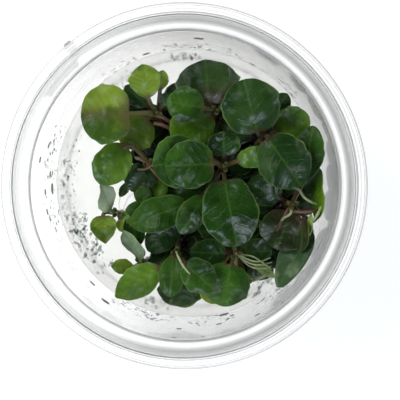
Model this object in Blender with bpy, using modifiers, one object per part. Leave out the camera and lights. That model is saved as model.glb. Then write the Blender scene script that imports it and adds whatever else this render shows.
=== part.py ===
"""Tissue culture cardinal flower: young plants on clear gel in an open plastic cup.

Metres, +Z up. The origin is the middle of the cup's flat underside.
"""

import math
from collections import namedtuple

import bmesh
import bpy
from mathutils import Vector

MM = 0.001

# The cup.
CUP_HEIGHT = 57.0 * MM
FLANGE_RADIUS = 50.0 * MM
FLANGE_WIDTH = 2.6 * MM
SEAT_WIDTH = 4.1 * MM
SEAT_DEPTH = 7.0 * MM
SEAT_ROUND = 0.35 * MM
WALL = 0.9 * MM
FLOOR = 1.0 * MM
WALL_TAPER = math.radians(3.87)
FLANGE_DROP = 2.1 * MM
FLANGE_THICKNESS = 0.8 * MM
FLANGE_ROUND = 0.15 * MM
LIP_DEPTH = 1.5 * MM
LIP_WIDTH = 0.7 * MM
RIM_WIDTH = 0.9 * MM
RIM_LEAN = 1.0 * MM
CORNER_RADIUS = 2.4 * MM
TAB_AZIMUTH = math.radians(129.0)
TAB_WIDTH = 2.6 * MM
TAB_REACH = 0.4 * MM
TAB_RISE = 0.6 * MM
CUP_SEGMENTS = 44

# The gel.
GEL_DEPTH = 17.2 * MM
MENISCUS = 0.8 * MM
MENISCUS_WIDTH = 2.0 * MM
SOCKET_SEGMENTS = 10
GAP = 0.3 * MM

# The plants.
STEM_RADIUS = 1.0 * MM
STEM_TIP = 0.75
ROOTED_DEPTH = 5.0 * MM
LEAF_THICKNESS = 0.5 * MM
PETIOLE_WIDTH = 1.3 * MM
PETIOLE_ANGLE = math.radians(53.0)
PETIOLE_EASE = 0.35
PETIOLE_STEPS = 2
BLADE_STEPS = 5
BLADE_COLUMNS = 4
SMALL_BLADE = 6.5 * MM
WALL_CLEARANCE = 0.4 * MM
BEND_UP = 0.8

RIM_RADIUS = FLANGE_RADIUS - FLANGE_WIDTH
SEAT_RADIUS = RIM_RADIUS - SEAT_WIDTH
GEL_TOP = FLOOR + GAP + GEL_DEPTH
SHOULDER_HEIGHT = CUP_HEIGHT - SEAT_DEPTH

# The shoots are set out below for a cup of this flange radius and spread with it.
SET_OUT_RADIUS = 50.0 * MM
SPREAD = MM * FLANGE_RADIUS / SET_OUT_RADIUS

# A leaf: x, y and height of the middle of its blade in mm, the height over the gel; heading of its tip,
# pitch, roll and curl in degrees; length and width in mm; fold is the rise of its edges over half its
# width; belly over 1 puts the widest place nearer the tip; blunt under 1 rounds its ends; node is the
# height in mm over the gel at which its stalk leaves the stem; tone names its colour.
Leaf = namedtuple(
    "Leaf", "x y height heading length width pitch roll curl fold belly blunt node tone"
)
# A shoot: where it stands on the gel and where its tip is, in mm from the middle of the cup.
Shoot = namedtuple("Shoot", "letter base tip height leaves")

SHOOTS = [
    Shoot("a", (-7.0, 18.5), (-8.8, 21.0), 18.0, [
        Leaf(-23.3, 20.3, 21.5, 182, 13.7, 17.6, 4, 6, -30, 0.10, 0.95, 0.50, 17.0, "young"),
        Leaf(-11.5, 29.6, 22.5, 100, 9.7, 9.6, 8, -4, -25, 0.12, 1.15, 0.65, 15.6, "young"),
        Leaf(-7.2, 30.2, 18.0, 80, 5.7, 4.2, 15, 0, -20, 0.15, 1.10, 0.60, 13.5, "young"),
        Leaf(-15.0, 26.0, 14.5, 138, 8.5, 6.0, 5, 0, -25, 0.05, 1.00, 0.60, 10.5, "dark"),
        Leaf(-15.5, 15.4, 13.0, 225, 10.6, 12.4, 0, 0, -30, -0.10, 1.00, 0.50, 7.0, "dark"),
        Leaf(-5.8, 24.6, 19.0, 55, 4.4, 4.0, 8, 0, -20, 0.10, 1.05, 0.60, 15.0, "mid"),
    ]),
    Shoot("b", (-9.0, 5.0), (-10.8, 6.4), 14.0, [
        Leaf(-21.8, 5.8, 17.0, 235, 13.5, 11.0, 0, -6, -35, 0.12, 1.00, 0.55, 13.0, "young"),
        Leaf(-14.4, 1.6, 12.0, 235, 8.6, 9.6, 0, 0, -30, 0.05, 1.00, 0.52, 9.5, "dark"),
        Leaf(-19.0, -1.6, 9.0, 238, 5.0, 2.8, 20, 0, -10, 0.20, 1.00, 0.60, 5.0, "dark"),
        Leaf(-8.6, -1.2, 10.0, 280, 6.0, 5.4, 10, 0, -25, 0.10, 1.05, 0.60, 7.0, "young"),
    ]),
    Shoot("c", (8.0, 20.0), (8.8, 21.6), 19.0, [
        Leaf(6.0, 29.8, 19.5, 96, 13.2, 18.6, -4, 0, -45, -0.20, 1.00, 0.50, 15.0, "dark"),
        Leaf(0.0, 22.9, 24.0, 170, 10.6, 10.4, 6, 5, -35, -0.08, 1.00, 0.50, 18.0, "mid"),
        Leaf(1.4, 16.6, 18.0, 218, 13.5, 12.4, 0, 0, -30, -0.08, 1.00, 0.50, 13.0, "mid"),
        Leaf(14.8, 17.0, 12.5, 330, 9.0, 9.0, 4, 0, -25, 0.00, 1.00, 0.52, 9.0, "dark"),
    ]),
    Shoot("d", (20.0, 11.5), (21.7, 13.5), 19.0, [
        Leaf(18.4, 22.6, 24.5, 105, 15.5, 17.0, 0, 0, -35, -0.10, 1.00, 0.48, 17.6, "dark"),
        Leaf(28.0, 6.6, 25.0, 305, 16.5, 15.2, 2, 0, -30, -0.06, 1.00, 0.50, 18.4, "dark"),
        Leaf(27.2, 23.6, 13.5, 56, 7.0, 6.0, 5, 0, -20, 0.05, 1.00, 0.55, 10.0, "dark"),
        Leaf(30.8, 17.8, 15.5, 26, 10.0, 10.5, 5, 0, -20, 0.05, 1.00, 0.52, 12.5, "dark"),
    ]),
    Shoot("e", (9.5, 4.0), (10.9, 5.5), 23.0, [
        Leaf(1.2, 5.9, 28.0, 183, 13.6, 14.0, 2, -4, -40, 0.05, 1.00, 0.48, 22.2, "fresh"),
        Leaf(12.9, -7.8, 27.5, 281, 19.4, 15.7, 2, -5, -30, 0.06, 0.95, 0.50, 21.0, "mid"),
        Leaf(-4.0, 5.4, 23.0, 198, 14.0, 15.4, 2, 0, -30, -0.05, 1.00, 0.50, 18.0, "fresh"),
        Leaf(19.4, 8.1, 20.5, 14, 10.0, 6.4, 6, 8, -25, 0.06, 1.00, 0.55, 16.4, "mid"),
        Leaf(10.8, 11.9, 20.5, 91, 6.8, 9.6, 6, 0, -25, 0.02, 1.00, 0.50, 17.4, "mid"),
        Leaf(1.6, -8.6, 21.0, 238, 12.5, 8.6, 0, -14, -30, 0.08, 1.00, 0.60, 13.5, "mid"),
        Leaf(1.2, -0.8, 16.0, 202, 9.0, 6.6, 0, 0, -25, 0.05, 1.00, 0.55, 11.0, "dark"),
    ]),
    Shoot("f", (28.0, -5.0), (30.3, -5.7), 19.0, [
        Leaf(35.0, 9.4, 19.0, 80, 15.5, 9.4, 8, -20, -25, 0.05, 1.00, 0.55, 16.5, "dark"),
        Leaf(38.0, -3.4, 18.0, 84, 15.0, 8.0, 25, -62, -10, 0.05, 1.00, 0.70, 13.0, "fresh"),
        Leaf(28.0, -13.4, 17.0, 251, 11.4, 14.4, 0, 0, -30, -0.06, 1.00, 0.50, 15.0, "dark"),
        Leaf(30.2, -23.3, 14.0, 243, 16.0, 9.4, 0, 22, -30, 0.10, 1.00, 0.65, 9.0, "mid"),
        Leaf(22.4, -1.6, 13.5, 155, 10.6, 9.0, 6, 0, -20, 0.04, 1.00, 0.52, 11.0, "dark"),
    ]),
    Shoot("g", (-3.0, -17.5), (-3.1, -19.3), 17.0, [
        Leaf(-4.4, -26.6, 18.5, 265, 12.0, 7.6, 4, 0, -40, 0.12, 1.00, 0.62, 14.5, "mid"),
        Leaf(3.8, -26.2, 20.5, 318, 11.4, 9.8, 6, -6, -35, 0.14, 1.00, 0.60, 15.6, "mid"),
        Leaf(-2.2, -31.8, 11.5, 268, 8.8, 13.8, 0, 0, -25, -0.10, 1.00, 0.50, 7.0, "mid"),
        Leaf(-14.4, -28.4, 17.0, 213, 15.6, 9.6, 4, 8, -25, 0.15, 0.92, 0.72, 12.8, "fresh"),
    ]),
    Shoot("h", (-21.0, -9.0), (-21.4, -8.5), 8.5, [
        Leaf(-24.2, -3.8, 12.2, 108, 9.0, 8.8, 26, 58, -10, 0.10, 1.00, 0.70, 7.6, "under"),
        Leaf(-25.0, -13.5, 9.6, 276, 8.3, 8.0, 5, 0, -25, 0.12, 0.72, 0.85, 4.8, "young"),
        Leaf(-19.3, -12.2, 8.0, 300, 4.8, 4.4, 10, 0, -20, 0.10, 1.00, 0.60, 5.5, "young"),
    ]),
    Shoot("i", (13.0, -17.5), (14.3, -19.8), 15.0, [
        Leaf(11.4, -29.2, 17.5, 256, 12.4, 14.0, 2, 0, -35, -0.08, 1.00, 0.50, 13.6, "mid"),
        Leaf(6.0, -20.0, 12.5, 178, 10.5, 8.2, 4, 0, -25, 0.00, 1.00, 0.55, 10.0, "dark"),
        Leaf(20.8, -19.6, 12.5, 2, 8.0, 8.0, 4, 0, -25, 0.00, 1.00, 0.55, 11.2, "dark"),
        Leaf(17.4, -28.2, 9.5, 290, 3.4, 3.0, 10, 0, -10, 0.10, 1.00, 0.60, 6.5, "young"),
        Leaf(22.6, -25.4, 9.0, 326, 8.0, 3.0, 8, 0, -15, 0.15, 1.00, 0.70, 4.5, "pale"),
    ]),
    Shoot("j", (1.0, -7.0), (1.5, -6.5), 14.0, [
        Leaf(-8.2, -8.5, 18.0, 200, 17.6, 10.4, 0, 6, -30, 0.04, 1.00, 0.58, 12.8, "mid"),
        Leaf(-7.2, -14.6, 11.5, 228, 14.0, 9.6, 0, 0, -25, 0.00, 1.00, 0.55, 9.0, "dark"),
        Leaf(7.4, -12.6, 9.0, 318, 9.0, 8.4, 0, 0, -25, 0.00, 1.00, 0.52, 6.5, "dark"),
    ]),
    Shoot("k", (-13.0, -23.5), (-14.4, -23.2), 9.0, [
        Leaf(-16.2, -17.8, 13.2, 117, 10.6, 8.2, 22, -48, -15, 0.08, 1.00, 0.72, 7.8, "under"),
        Leaf(-19.8, -24.6, 8.0, 178, 6.6, 4.8, 8, 0, -20, 0.10, 1.00, 0.68, 5.6, "young"),
    ]),
]

TONES = {
    "young": (0.225, 0.350, 0.035),
    "fresh": (0.085, 0.270, 0.020),
    "mid": (0.040, 0.145, 0.018),
    "dark": (0.018, 0.065, 0.018),
    "under": (0.180, 0.270, 0.150),
    "pale": (0.290, 0.370, 0.170),
}
STEM_COLOUR = (0.085, 0.035, 0.022)
GEL_COLOUR = (0.93, 0.95, 0.90)
CUP_COLOUR = (0.90, 0.92, 0.92)


def material(name, colour, roughness, clear=0.0, ior=1.45):
    made = bpy.data.materials.new(name)
    made.use_nodes = True
    shader = made.node_tree.nodes["Principled BSDF"]
    shader.inputs["Base Color"].default_value = (*colour, 1.0)
    shader.inputs["Roughness"].default_value = roughness
    shader.inputs["Metallic"].default_value = 0.0
    shader.inputs["Transmission Weight"].default_value = clear
    shader.inputs["IOR"].default_value = ior
    made.diffuse_color = (*colour, 1.0)
    return made


def new_object(name, mesh, collection, finish=None):
    made = bpy.data.objects.new(name, mesh)
    collection.objects.link(made)
    if finish:
        mesh.materials.append(finish)
    return made


def arc(centre, radius, start, end, steps):
    """Points of a fillet in the profile plane, from one angle in degrees to another."""
    angles = [math.radians(start + (end - start) * i / steps) for i in range(steps + 1)]
    return [(centre[0] + radius * math.cos(a), centre[1] + radius * math.sin(a)) for a in angles]


def wall_radius(height):
    """Radius of the cup's inner wall at a height."""
    top = SEAT_RADIUS - WALL * 0.6
    return top - (SHOULDER_HEIGHT - height) * math.tan(WALL_TAPER)


def turned(name, profile, segments, collection, finish):
    """A solid turned about Z from (radius, height) points that start and end on the axis."""
    mesh = bpy.data.meshes.new(name)
    points = [(radius, 0.0, height) for radius, height in profile]
    mesh.from_pydata(points, [(i, i + 1) for i in range(len(points) - 1)], [])
    made = new_object(name, mesh, collection, finish)
    screw = made.modifiers.new("Turn", "SCREW")
    screw.axis = "Z"
    screw.angle = math.tau
    screw.steps = segments
    screw.render_steps = segments
    screw.use_merge_vertices = True
    screw.merge_threshold = 0.00001
    screw.use_smooth_shade = True
    return made


def cup_profile():
    """Down the middle of the floor, up the inside, over the rim and down the outside."""
    inner_corner = CORNER_RADIUS - WALL
    inner_foot = wall_radius(FLOOR + inner_corner)
    outer_foot = wall_radius(CORNER_RADIUS) + WALL
    flange_top = CUP_HEIGHT - FLANGE_DROP
    flange_under = flange_top - FLANGE_THICKNESS
    rim_inside = RIM_RADIUS - RIM_WIDTH
    seat_under = SHOULDER_HEIGHT - WALL
    wall_top = seat_under - SEAT_ROUND
    inside = [
        (0.0, FLOOR),
        *arc((inner_foot - inner_corner, FLOOR + inner_corner), inner_corner, -90, 0, 2),
        (wall_radius(SHOULDER_HEIGHT), SHOULDER_HEIGHT),
        (SEAT_RADIUS + SEAT_ROUND, SHOULDER_HEIGHT + SEAT_ROUND / 2),
        (rim_inside - RIM_LEAN, flange_under),
        (rim_inside, flange_top + TAB_RISE),
    ]
    rim = [
        (rim_inside + FLANGE_ROUND, CUP_HEIGHT),
        (RIM_RADIUS - FLANGE_ROUND, CUP_HEIGHT),
    ]
    outside = [
        (RIM_RADIUS, flange_top),
        (FLANGE_RADIUS - FLANGE_ROUND, flange_top),
        (FLANGE_RADIUS, flange_top - 2 * FLANGE_ROUND),
        (FLANGE_RADIUS, flange_top - LIP_DEPTH),
        (FLANGE_RADIUS - LIP_WIDTH, flange_top - LIP_DEPTH),
        (FLANGE_RADIUS - LIP_WIDTH, flange_under),
        (RIM_RADIUS, flange_under),
        (SEAT_RADIUS + 2 * SEAT_ROUND, seat_under),
        (wall_radius(wall_top) + WALL, wall_top),
        *arc((outer_foot - CORNER_RADIUS, CORNER_RADIUS), CORNER_RADIUS, 0, -90, 3),
        (0.0, 0.0),
    ]
    return inside + rim + outside


def box(name, centre, size, azimuth, collection):
    bm = bmesh.new()
    bmesh.ops.create_cube(bm, size=1.0)
    bmesh.ops.scale(bm, vec=size, verts=bm.verts)
    mesh = bpy.data.meshes.new(name)
    bm.to_mesh(mesh)
    bm.free()
    made = new_object(name, mesh, collection)
    made.location = centre
    made.rotation_euler[2] = azimuth
    made.hide_render = True
    made.display_type = "WIRE"
    return made


def boolean(target, other, operation):
    cut = target.modifiers.new(other.name, "BOOLEAN")
    cut.object = other
    cut.operation = operation
    cut.solver = "EXACT"


def make_cup(collection, cutters):
    """A moulded polypropylene cup: a lid seat round the mouth, a flange with a lip and a small tab."""
    plastic = material("Clear plastic", CUP_COLOUR, 0.08, 1.0, 1.49)
    cup = turned("cup", cup_profile(), CUP_SEGMENTS, collection, plastic)
    inner_end = RIM_RADIUS - RIM_WIDTH / 2
    depth = FLANGE_RADIUS + TAB_REACH - inner_end
    middle = inner_end + depth / 2
    centre = (
        middle * math.cos(TAB_AZIMUTH),
        middle * math.sin(TAB_AZIMUTH),
        CUP_HEIGHT - FLANGE_DROP,
    )
    tab = box("Tab", centre, (depth, TAB_WIDTH, 2 * TAB_RISE), TAB_AZIMUTH, cutters)
    boolean(cup, tab, "UNION")
    return cup


def make_gel(collection, cutters):
    """The set gel: a clear disc that climbs the wall a little, with a socket round each stem."""
    foot = wall_radius(FLOOR) - CORNER_RADIUS
    bottom = FLOOR + GAP
    edge = wall_radius(GEL_TOP + MENISCUS) - GAP
    profile = [
        (0.0, GEL_TOP),
        (edge - MENISCUS_WIDTH, GEL_TOP),
        (edge - MENISCUS_WIDTH / 3, GEL_TOP + MENISCUS / 4),
        (edge, GEL_TOP + MENISCUS),
        (wall_radius(bottom + CORNER_RADIUS) - GAP, bottom + CORNER_RADIUS),
        (foot, bottom),
        (0.0, bottom),
    ]
    jelly = material("Gel", GEL_COLOUR, 0.05, 1.0, 1.34)
    gel = turned("nutrient_gel", profile, CUP_SEGMENTS, collection, jelly)
    socket_radius = (STEM_RADIUS + GAP) / math.cos(math.pi / SOCKET_SEGMENTS)
    socket_depth = ROOTED_DEPTH + GAP
    for shoot in SHOOTS:
        bm = bmesh.new()
        bmesh.ops.create_cone(
            bm,
            cap_ends=True,
            segments=SOCKET_SEGMENTS,
            radius1=socket_radius,
            radius2=socket_radius,
            depth=2 * socket_depth,
        )
        mesh = bpy.data.meshes.new("Socket")
        bm.to_mesh(mesh)
        bm.free()
        socket = new_object(f"Socket_{shoot.letter}", mesh, cutters)
        socket.location = (shoot.base[0] * SPREAD, shoot.base[1] * SPREAD, GEL_TOP)
        socket.hide_render = True
        socket.display_type = "WIRE"
        boolean(gel, socket, "DIFFERENCE")
    return gel


def stem_point(shoot, height):
    """The middle of a stem at a height over the gel: upright at its foot, then leaning to its tip."""
    share = max(0.0, height) / (shoot.height * MM)
    lean = share * share * (3 - 2 * share) if share < 1 else share
    x = shoot.base[0] + (shoot.tip[0] - shoot.base[0]) * lean
    y = shoot.base[1] + (shoot.tip[1] - shoot.base[1]) * lean
    return Vector((x * SPREAD, y * SPREAD, GEL_TOP + height))


def make_stem(shoot, collection, finish):
    top = shoot.height * MM
    heights = [-ROOTED_DEPTH, 0.12 * top, 0.4 * top, 0.7 * top, top]
    curve = bpy.data.curves.new(f"stem_{shoot.letter}", "CURVE")
    curve.dimensions = "3D"
    curve.bevel_depth = STEM_RADIUS
    curve.bevel_resolution = 2
    curve.use_fill_caps = True
    spline = curve.splines.new("POLY")
    spline.points.add(len(heights) - 1)
    for point, height in zip(spline.points, heights):
        point.co = (*stem_point(shoot, height), 1.0)
    spline.points[-1].radius = STEM_TIP
    return new_object(f"stem_{shoot.letter}", curve, collection, finish)


def blade_frame(leaf):
    """The leaf's own directions: along it, to its left and up out of it, before it pitches and curls."""
    heading = math.radians(leaf.heading)
    along = Vector((math.cos(heading), math.sin(heading), 0.0))
    left = Vector((-along.y, along.x, 0.0))
    return along, left, Vector((0.0, 0.0, 1.0))


def midrib(leaf, share):
    """A point of the midrib and its direction, share running from 0 at the stalk to 1 at the tip."""
    along, _, up = blade_frame(leaf)
    steps = 12
    middle = Vector((leaf.x * SPREAD, leaf.y * SPREAD, GEL_TOP + leaf.height * MM))
    reach = share - 0.5
    point = middle
    for i in range(steps):
        angle = math.radians(leaf.pitch + leaf.curl * reach * (i + 0.5) / steps)
        ahead = along * math.cos(angle) + up * math.sin(angle)
        point = point + ahead * (leaf.length * SPREAD * reach / steps)
    angle = math.radians(leaf.pitch + leaf.curl * reach)
    return point, along * math.cos(angle) + up * math.sin(angle)


def half_width(leaf, share):
    """Half the blade's width at a place along it."""
    swell = max(0.0, math.sin(math.pi * share**leaf.belly)) ** leaf.blunt
    least = PETIOLE_WIDTH / 2 if share < 0.5 else 0.07 * leaf.width * SPREAD
    return max(least, swell * leaf.width * SPREAD / 2)


def keep_in_cup(point):
    """A leaf that would pass through the wall bends up along it instead."""
    reach = math.hypot(point.x, point.y)
    most = wall_radius(point.z) - WALL_CLEARANCE - LEAF_THICKNESS / 2
    over = reach - most
    if over <= 0:
        return point
    return Vector((point.x * most / reach, point.y * most / reach, point.z + BEND_UP * over))


def blade_point(leaf, share, side):
    """A point of the blade's middle surface. side runs from -1 at its right edge to 1 at its left."""
    centre, ahead = midrib(leaf, share)
    _, left, _ = blade_frame(leaf)
    roll = math.radians(leaf.roll)
    up = ahead.cross(left)
    across = left * math.cos(roll) + up * math.sin(roll)
    out = ahead.cross(across)
    half = half_width(leaf, share)
    return centre + across * (side * half) + out * (leaf.fold * half * abs(side) ** 1.5), across


def on_curve(controls, share):
    """A point of the Bezier curve with these four controls."""
    left = 1 - share
    weights = (left**3, 3 * share * left**2, 3 * share**2 * left, share**3)
    return sum((control * weight for control, weight in zip(controls, weights)), Vector())


def stalk_point(leaf, shoot, share, side):
    """A point of the stalk, share running from 0 at the stem to 1 at the blade."""
    foot, ahead = midrib(leaf, 0.0)
    _, across = blade_point(leaf, 0.0, 0.0)
    axis = stem_point(shoot, leaf.node * MM)
    outward = Vector((foot.x - axis.x, foot.y - axis.y, 0.0)).normalized()
    start = axis + outward * (STEM_RADIUS + GAP + LEAF_THICKNESS / 2)
    rise = outward * math.cos(PETIOLE_ANGLE) + Vector((0.0, 0.0, math.sin(PETIOLE_ANGLE)))
    ease = PETIOLE_EASE * (foot - start).length
    controls = (start, start + rise * ease, foot - ahead * ease, foot)
    centre = on_curve(controls, share)
    nearby = share + 0.02 if share < 0.5 else share - 0.02
    towards = (on_curve(controls, nearby) - centre).normalized()
    across = (across - towards * across.dot(towards)).normalized()
    return centre + across * (side * PETIOLE_WIDTH / 2)


def make_leaf(name, leaf, shoot, collection, finish):
    """Stalk and blade in one strip, bent to shape and given its thickness."""
    small = leaf.width * MM < SMALL_BLADE
    blade_steps = BLADE_STEPS - 1 if small else BLADE_STEPS
    columns = BLADE_COLUMNS // 2 if small else BLADE_COLUMNS
    rows = PETIOLE_STEPS + blade_steps
    bm = bmesh.new()
    bmesh.ops.create_grid(bm, x_segments=rows, y_segments=columns, size=0.5)
    for vertex in bm.verts:
        row = round((vertex.co.x + 0.5) * rows)
        side = 2 * vertex.co.y
        if row < PETIOLE_STEPS:
            vertex.co = stalk_point(leaf, shoot, row / PETIOLE_STEPS, side)
        else:
            share = 0.5 - 0.5 * math.cos(math.pi * (row - PETIOLE_STEPS) / blade_steps)
            vertex.co = keep_in_cup(blade_point(leaf, share, side)[0])
    mesh = bpy.data.meshes.new(name)
    bm.to_mesh(mesh)
    bm.free()
    mesh.shade_smooth()
    made = new_object(name, mesh, collection, finish)
    skin = made.modifiers.new("Thickness", "SOLIDIFY")
    skin.thickness = LEAF_THICKNESS
    skin.offset = 0.0
    return made


for old in list(bpy.data.objects):
    bpy.data.objects.remove(old, do_unlink=True)
scene = bpy.context.scene
parts = bpy.data.collections.new("Tissue culture cardinal flower")
cutters = bpy.data.collections.new("Cutters")
scene.collection.children.link(parts)
scene.collection.children.link(cutters)

make_cup(parts, cutters)
make_gel(parts, cutters)
stem_finish = material("Stem", STEM_COLOUR, 0.5)
leaf_finishes = {tone: material(f"Leaf {tone}", colour, 0.35) for tone, colour in TONES.items()}
for shoot in SHOOTS:
    make_stem(shoot, parts, stem_finish)
    for number, leaf in enumerate(shoot.leaves, 1):
        make_leaf(f"leaf_{shoot.letter}{number}", leaf, shoot, parts, leaf_finishes[leaf.tone])
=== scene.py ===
"""Tissue culture cardinal flower: young plants on clear gel in an open, clear plastic cup."""

import math
import random
from collections import namedtuple

import bpy
from mathutils import Matrix, Vector, noise


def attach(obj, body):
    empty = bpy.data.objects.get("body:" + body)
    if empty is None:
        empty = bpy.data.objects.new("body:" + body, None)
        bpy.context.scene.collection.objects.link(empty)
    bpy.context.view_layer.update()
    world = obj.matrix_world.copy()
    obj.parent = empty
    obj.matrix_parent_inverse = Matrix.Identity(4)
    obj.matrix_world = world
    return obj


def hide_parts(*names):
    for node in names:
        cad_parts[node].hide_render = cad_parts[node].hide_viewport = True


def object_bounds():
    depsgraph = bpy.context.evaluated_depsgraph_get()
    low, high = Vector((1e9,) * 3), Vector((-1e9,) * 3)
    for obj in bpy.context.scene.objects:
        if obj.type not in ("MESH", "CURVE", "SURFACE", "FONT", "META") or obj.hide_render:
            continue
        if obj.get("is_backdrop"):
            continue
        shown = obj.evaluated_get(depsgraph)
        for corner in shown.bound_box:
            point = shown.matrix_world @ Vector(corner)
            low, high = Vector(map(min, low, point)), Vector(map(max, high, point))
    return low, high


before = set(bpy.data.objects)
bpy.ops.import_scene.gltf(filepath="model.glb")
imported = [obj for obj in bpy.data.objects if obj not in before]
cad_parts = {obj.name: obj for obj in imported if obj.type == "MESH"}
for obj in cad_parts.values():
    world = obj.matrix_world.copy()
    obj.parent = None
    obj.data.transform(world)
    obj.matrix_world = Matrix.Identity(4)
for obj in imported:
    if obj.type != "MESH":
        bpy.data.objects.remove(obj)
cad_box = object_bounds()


# The view: the camera looks down into the open cup through a long lens, from a little to the right of
# the cup's middle.
SENSOR_MM = 36.0
LENS_MM = 100.08
EYE = Vector((0.0160, 0.0080, 0.3570))
AIM = Vector((0.00467, -0.00351, 0.0570))
ahead = (AIM - EYE).normalized()
right = ahead.cross(Vector((0.0, 1.0, 0.0))).normalized()
lens = bpy.data.cameras.new("Camera")
lens.sensor_width = SENSOR_MM
lens.lens = LENS_MM
lens.clip_start = 0.01
camera = bpy.data.objects.new("Camera", lens)
turn = Matrix((right, right.cross(ahead), -ahead)).transposed().to_4x4()
camera.matrix_world = Matrix.Translation(EYE) @ turn
bpy.context.scene.collection.objects.link(camera)
bpy.context.scene.camera = camera


# The cup: one piece of clear polypropylene, injection moulded. A tapered wall rises to a step that
# the lid sat on; a flared skirt, a rim and a flange with a turned-down lip run round the mouth.
MM = 0.001
CUP_HEIGHT = 57.0
FLANGE_RADIUS = 50.0
RIM_RADIUS = 47.4
SEAT_RADIUS = 43.3
SEAT_DEPTH = 7.0
WALL = 0.9
FLOOR = 1.0
WALL_TAPER = math.radians(3.87)
FLANGE_DROP = 2.1
FLANGE_THICKNESS = 0.8
LIP_DEPTH = 1.5
LIP_WIDTH = 0.7
RIM_WIDTH = 0.9
RIM_LEAN = 1.0
BEAD_RADIUS = 48.3
BEAD_HEIGHT = 0.22
CORNER_RADIUS = 2.4
SHOULDER_HEIGHT = CUP_HEIGHT - SEAT_DEPTH
TAB_AZIMUTH = math.radians(129.0)
TAB_SIZE = (3.45, 2.2, 1.5)
THUMB_AZIMUTH = math.radians(138.5)
THUMB_SPREAD = math.radians(9.0)
THUMB_DEPTH = 0.85
CUP_SIDES = 256


def linear(code):
    """A hex sRGB colour as linear red, green and blue."""
    channels = [int(code[i : i + 2], 16) / 255 for i in (1, 3, 5)]
    return [c / 12.92 if c <= 0.04045 else ((c + 0.055) / 1.055) ** 2.4 for c in channels]


def rgba(code):
    return (*linear(code), 1.0)


def set_inputs(node, inputs):
    """Gives each input, by its number or name, a value or the node or socket that feeds it."""
    for key, value in inputs.items():
        names = [socket.name if socket.enabled else "" for socket in node.inputs]
        place = key if isinstance(key, int) else names.index(key)
        if isinstance(value, bpy.types.Node):
            value = next(socket for socket in value.outputs if socket.enabled)
        if isinstance(value, bpy.types.NodeSocket):
            node.id_data.links.new(value, node.inputs[place])
        else:
            node.inputs[place].default_value = value


def add_node(tree, kind, inputs=None, stops=(), **settings):
    """A shader node with its settings, its inputs and a colour ramp's (place, colour) stops."""
    node = tree.nodes.new("ShaderNode" + kind)
    for name, value in settings.items():
        setattr(node, name, value)
    for index, (place, colour) in enumerate(stops):
        ends = node.color_ramp.elements
        stop = ends[index] if index < 2 else ends.new(place)
        stop.position = place
        stop.color = rgba(colour)
    set_inputs(node, inputs or {})
    return node


def new_material(name, colour, roughness, clear=0.0, ior=1.45):
    made = bpy.data.materials.new(name)
    made.use_nodes = True
    shader = made.node_tree.nodes["Principled BSDF"]
    looks = {"Base Color": rgba(colour), "Roughness": roughness, "Transmission Weight": clear, "IOR": ior}
    set_inputs(shader, looks)
    return made, made.node_tree, shader


def wall_radius(height):
    """Radius of the cup's inner wall at a height, in mm."""
    return SEAT_RADIUS - 0.6 * WALL - (SHOULDER_HEIGHT - height) * math.tan(WALL_TAPER)


def rounded(corners, steps=4):
    """Outline points from (radius, height, rounding) corners."""
    points = []
    for i, (x, z, rounding) in enumerate(corners):
        here = Vector((x, z))
        if rounding == 0 or i in (0, len(corners) - 1):
            points.append(here)
            continue
        before = Vector(corners[i - 1][:2]) - here
        after = Vector(corners[i + 1][:2]) - here
        start = here + before.normalized() * min(rounding, 0.45 * before.length)
        end = here + after.normalized() * min(rounding, 0.45 * after.length)
        for k in range(steps + 1):
            t = k / steps
            points.append(start * (1 - t) ** 2 + here * (2 * t * (1 - t)) + end * t**2)
    return points


def select_only(*pieces):
    bpy.ops.object.select_all(action="DESELECT")
    for piece in pieces:
        piece.select_set(True)
    bpy.context.view_layer.objects.active = pieces[0]


def raise_rings(name, rings, sides):
    """A solid raised ring by ring as by hand: rings are (middle, radius), in metres."""
    bpy.ops.object.select_all(action="DESELECT")
    middle, radius = rings[0]
    bpy.ops.mesh.primitive_circle_add(vertices=sides, radius=radius, location=middle)
    made = bpy.context.object
    made.name = made.data.name = name
    bpy.ops.object.transform_apply(location=True, rotation=True, scale=True)
    bpy.ops.object.mode_set(mode="EDIT")
    bpy.ops.mesh.select_all(action="SELECT")
    for (was, old), (now, new) in zip(rings, rings[1:]):
        bpy.ops.mesh.extrude_edges_move(TRANSFORM_OT_translate={"value": tuple(now - was)})
        bpy.ops.transform.resize(value=(new / old, new / old, 1.0), center_override=now)
    bpy.ops.mesh.edge_face_add()
    bpy.ops.mesh.select_all(action="DESELECT")
    bpy.ops.mesh.select_non_manifold()
    bpy.ops.mesh.edge_face_add()
    bpy.ops.mesh.select_all(action="SELECT")
    bpy.ops.mesh.normals_make_consistent(inside=False)
    bpy.ops.object.mode_set(mode="OBJECT")
    return made


def on_axis(points):
    return [(Vector((0.0, 0.0, p.y * MM)), p.x * MM) for p in points]


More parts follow.
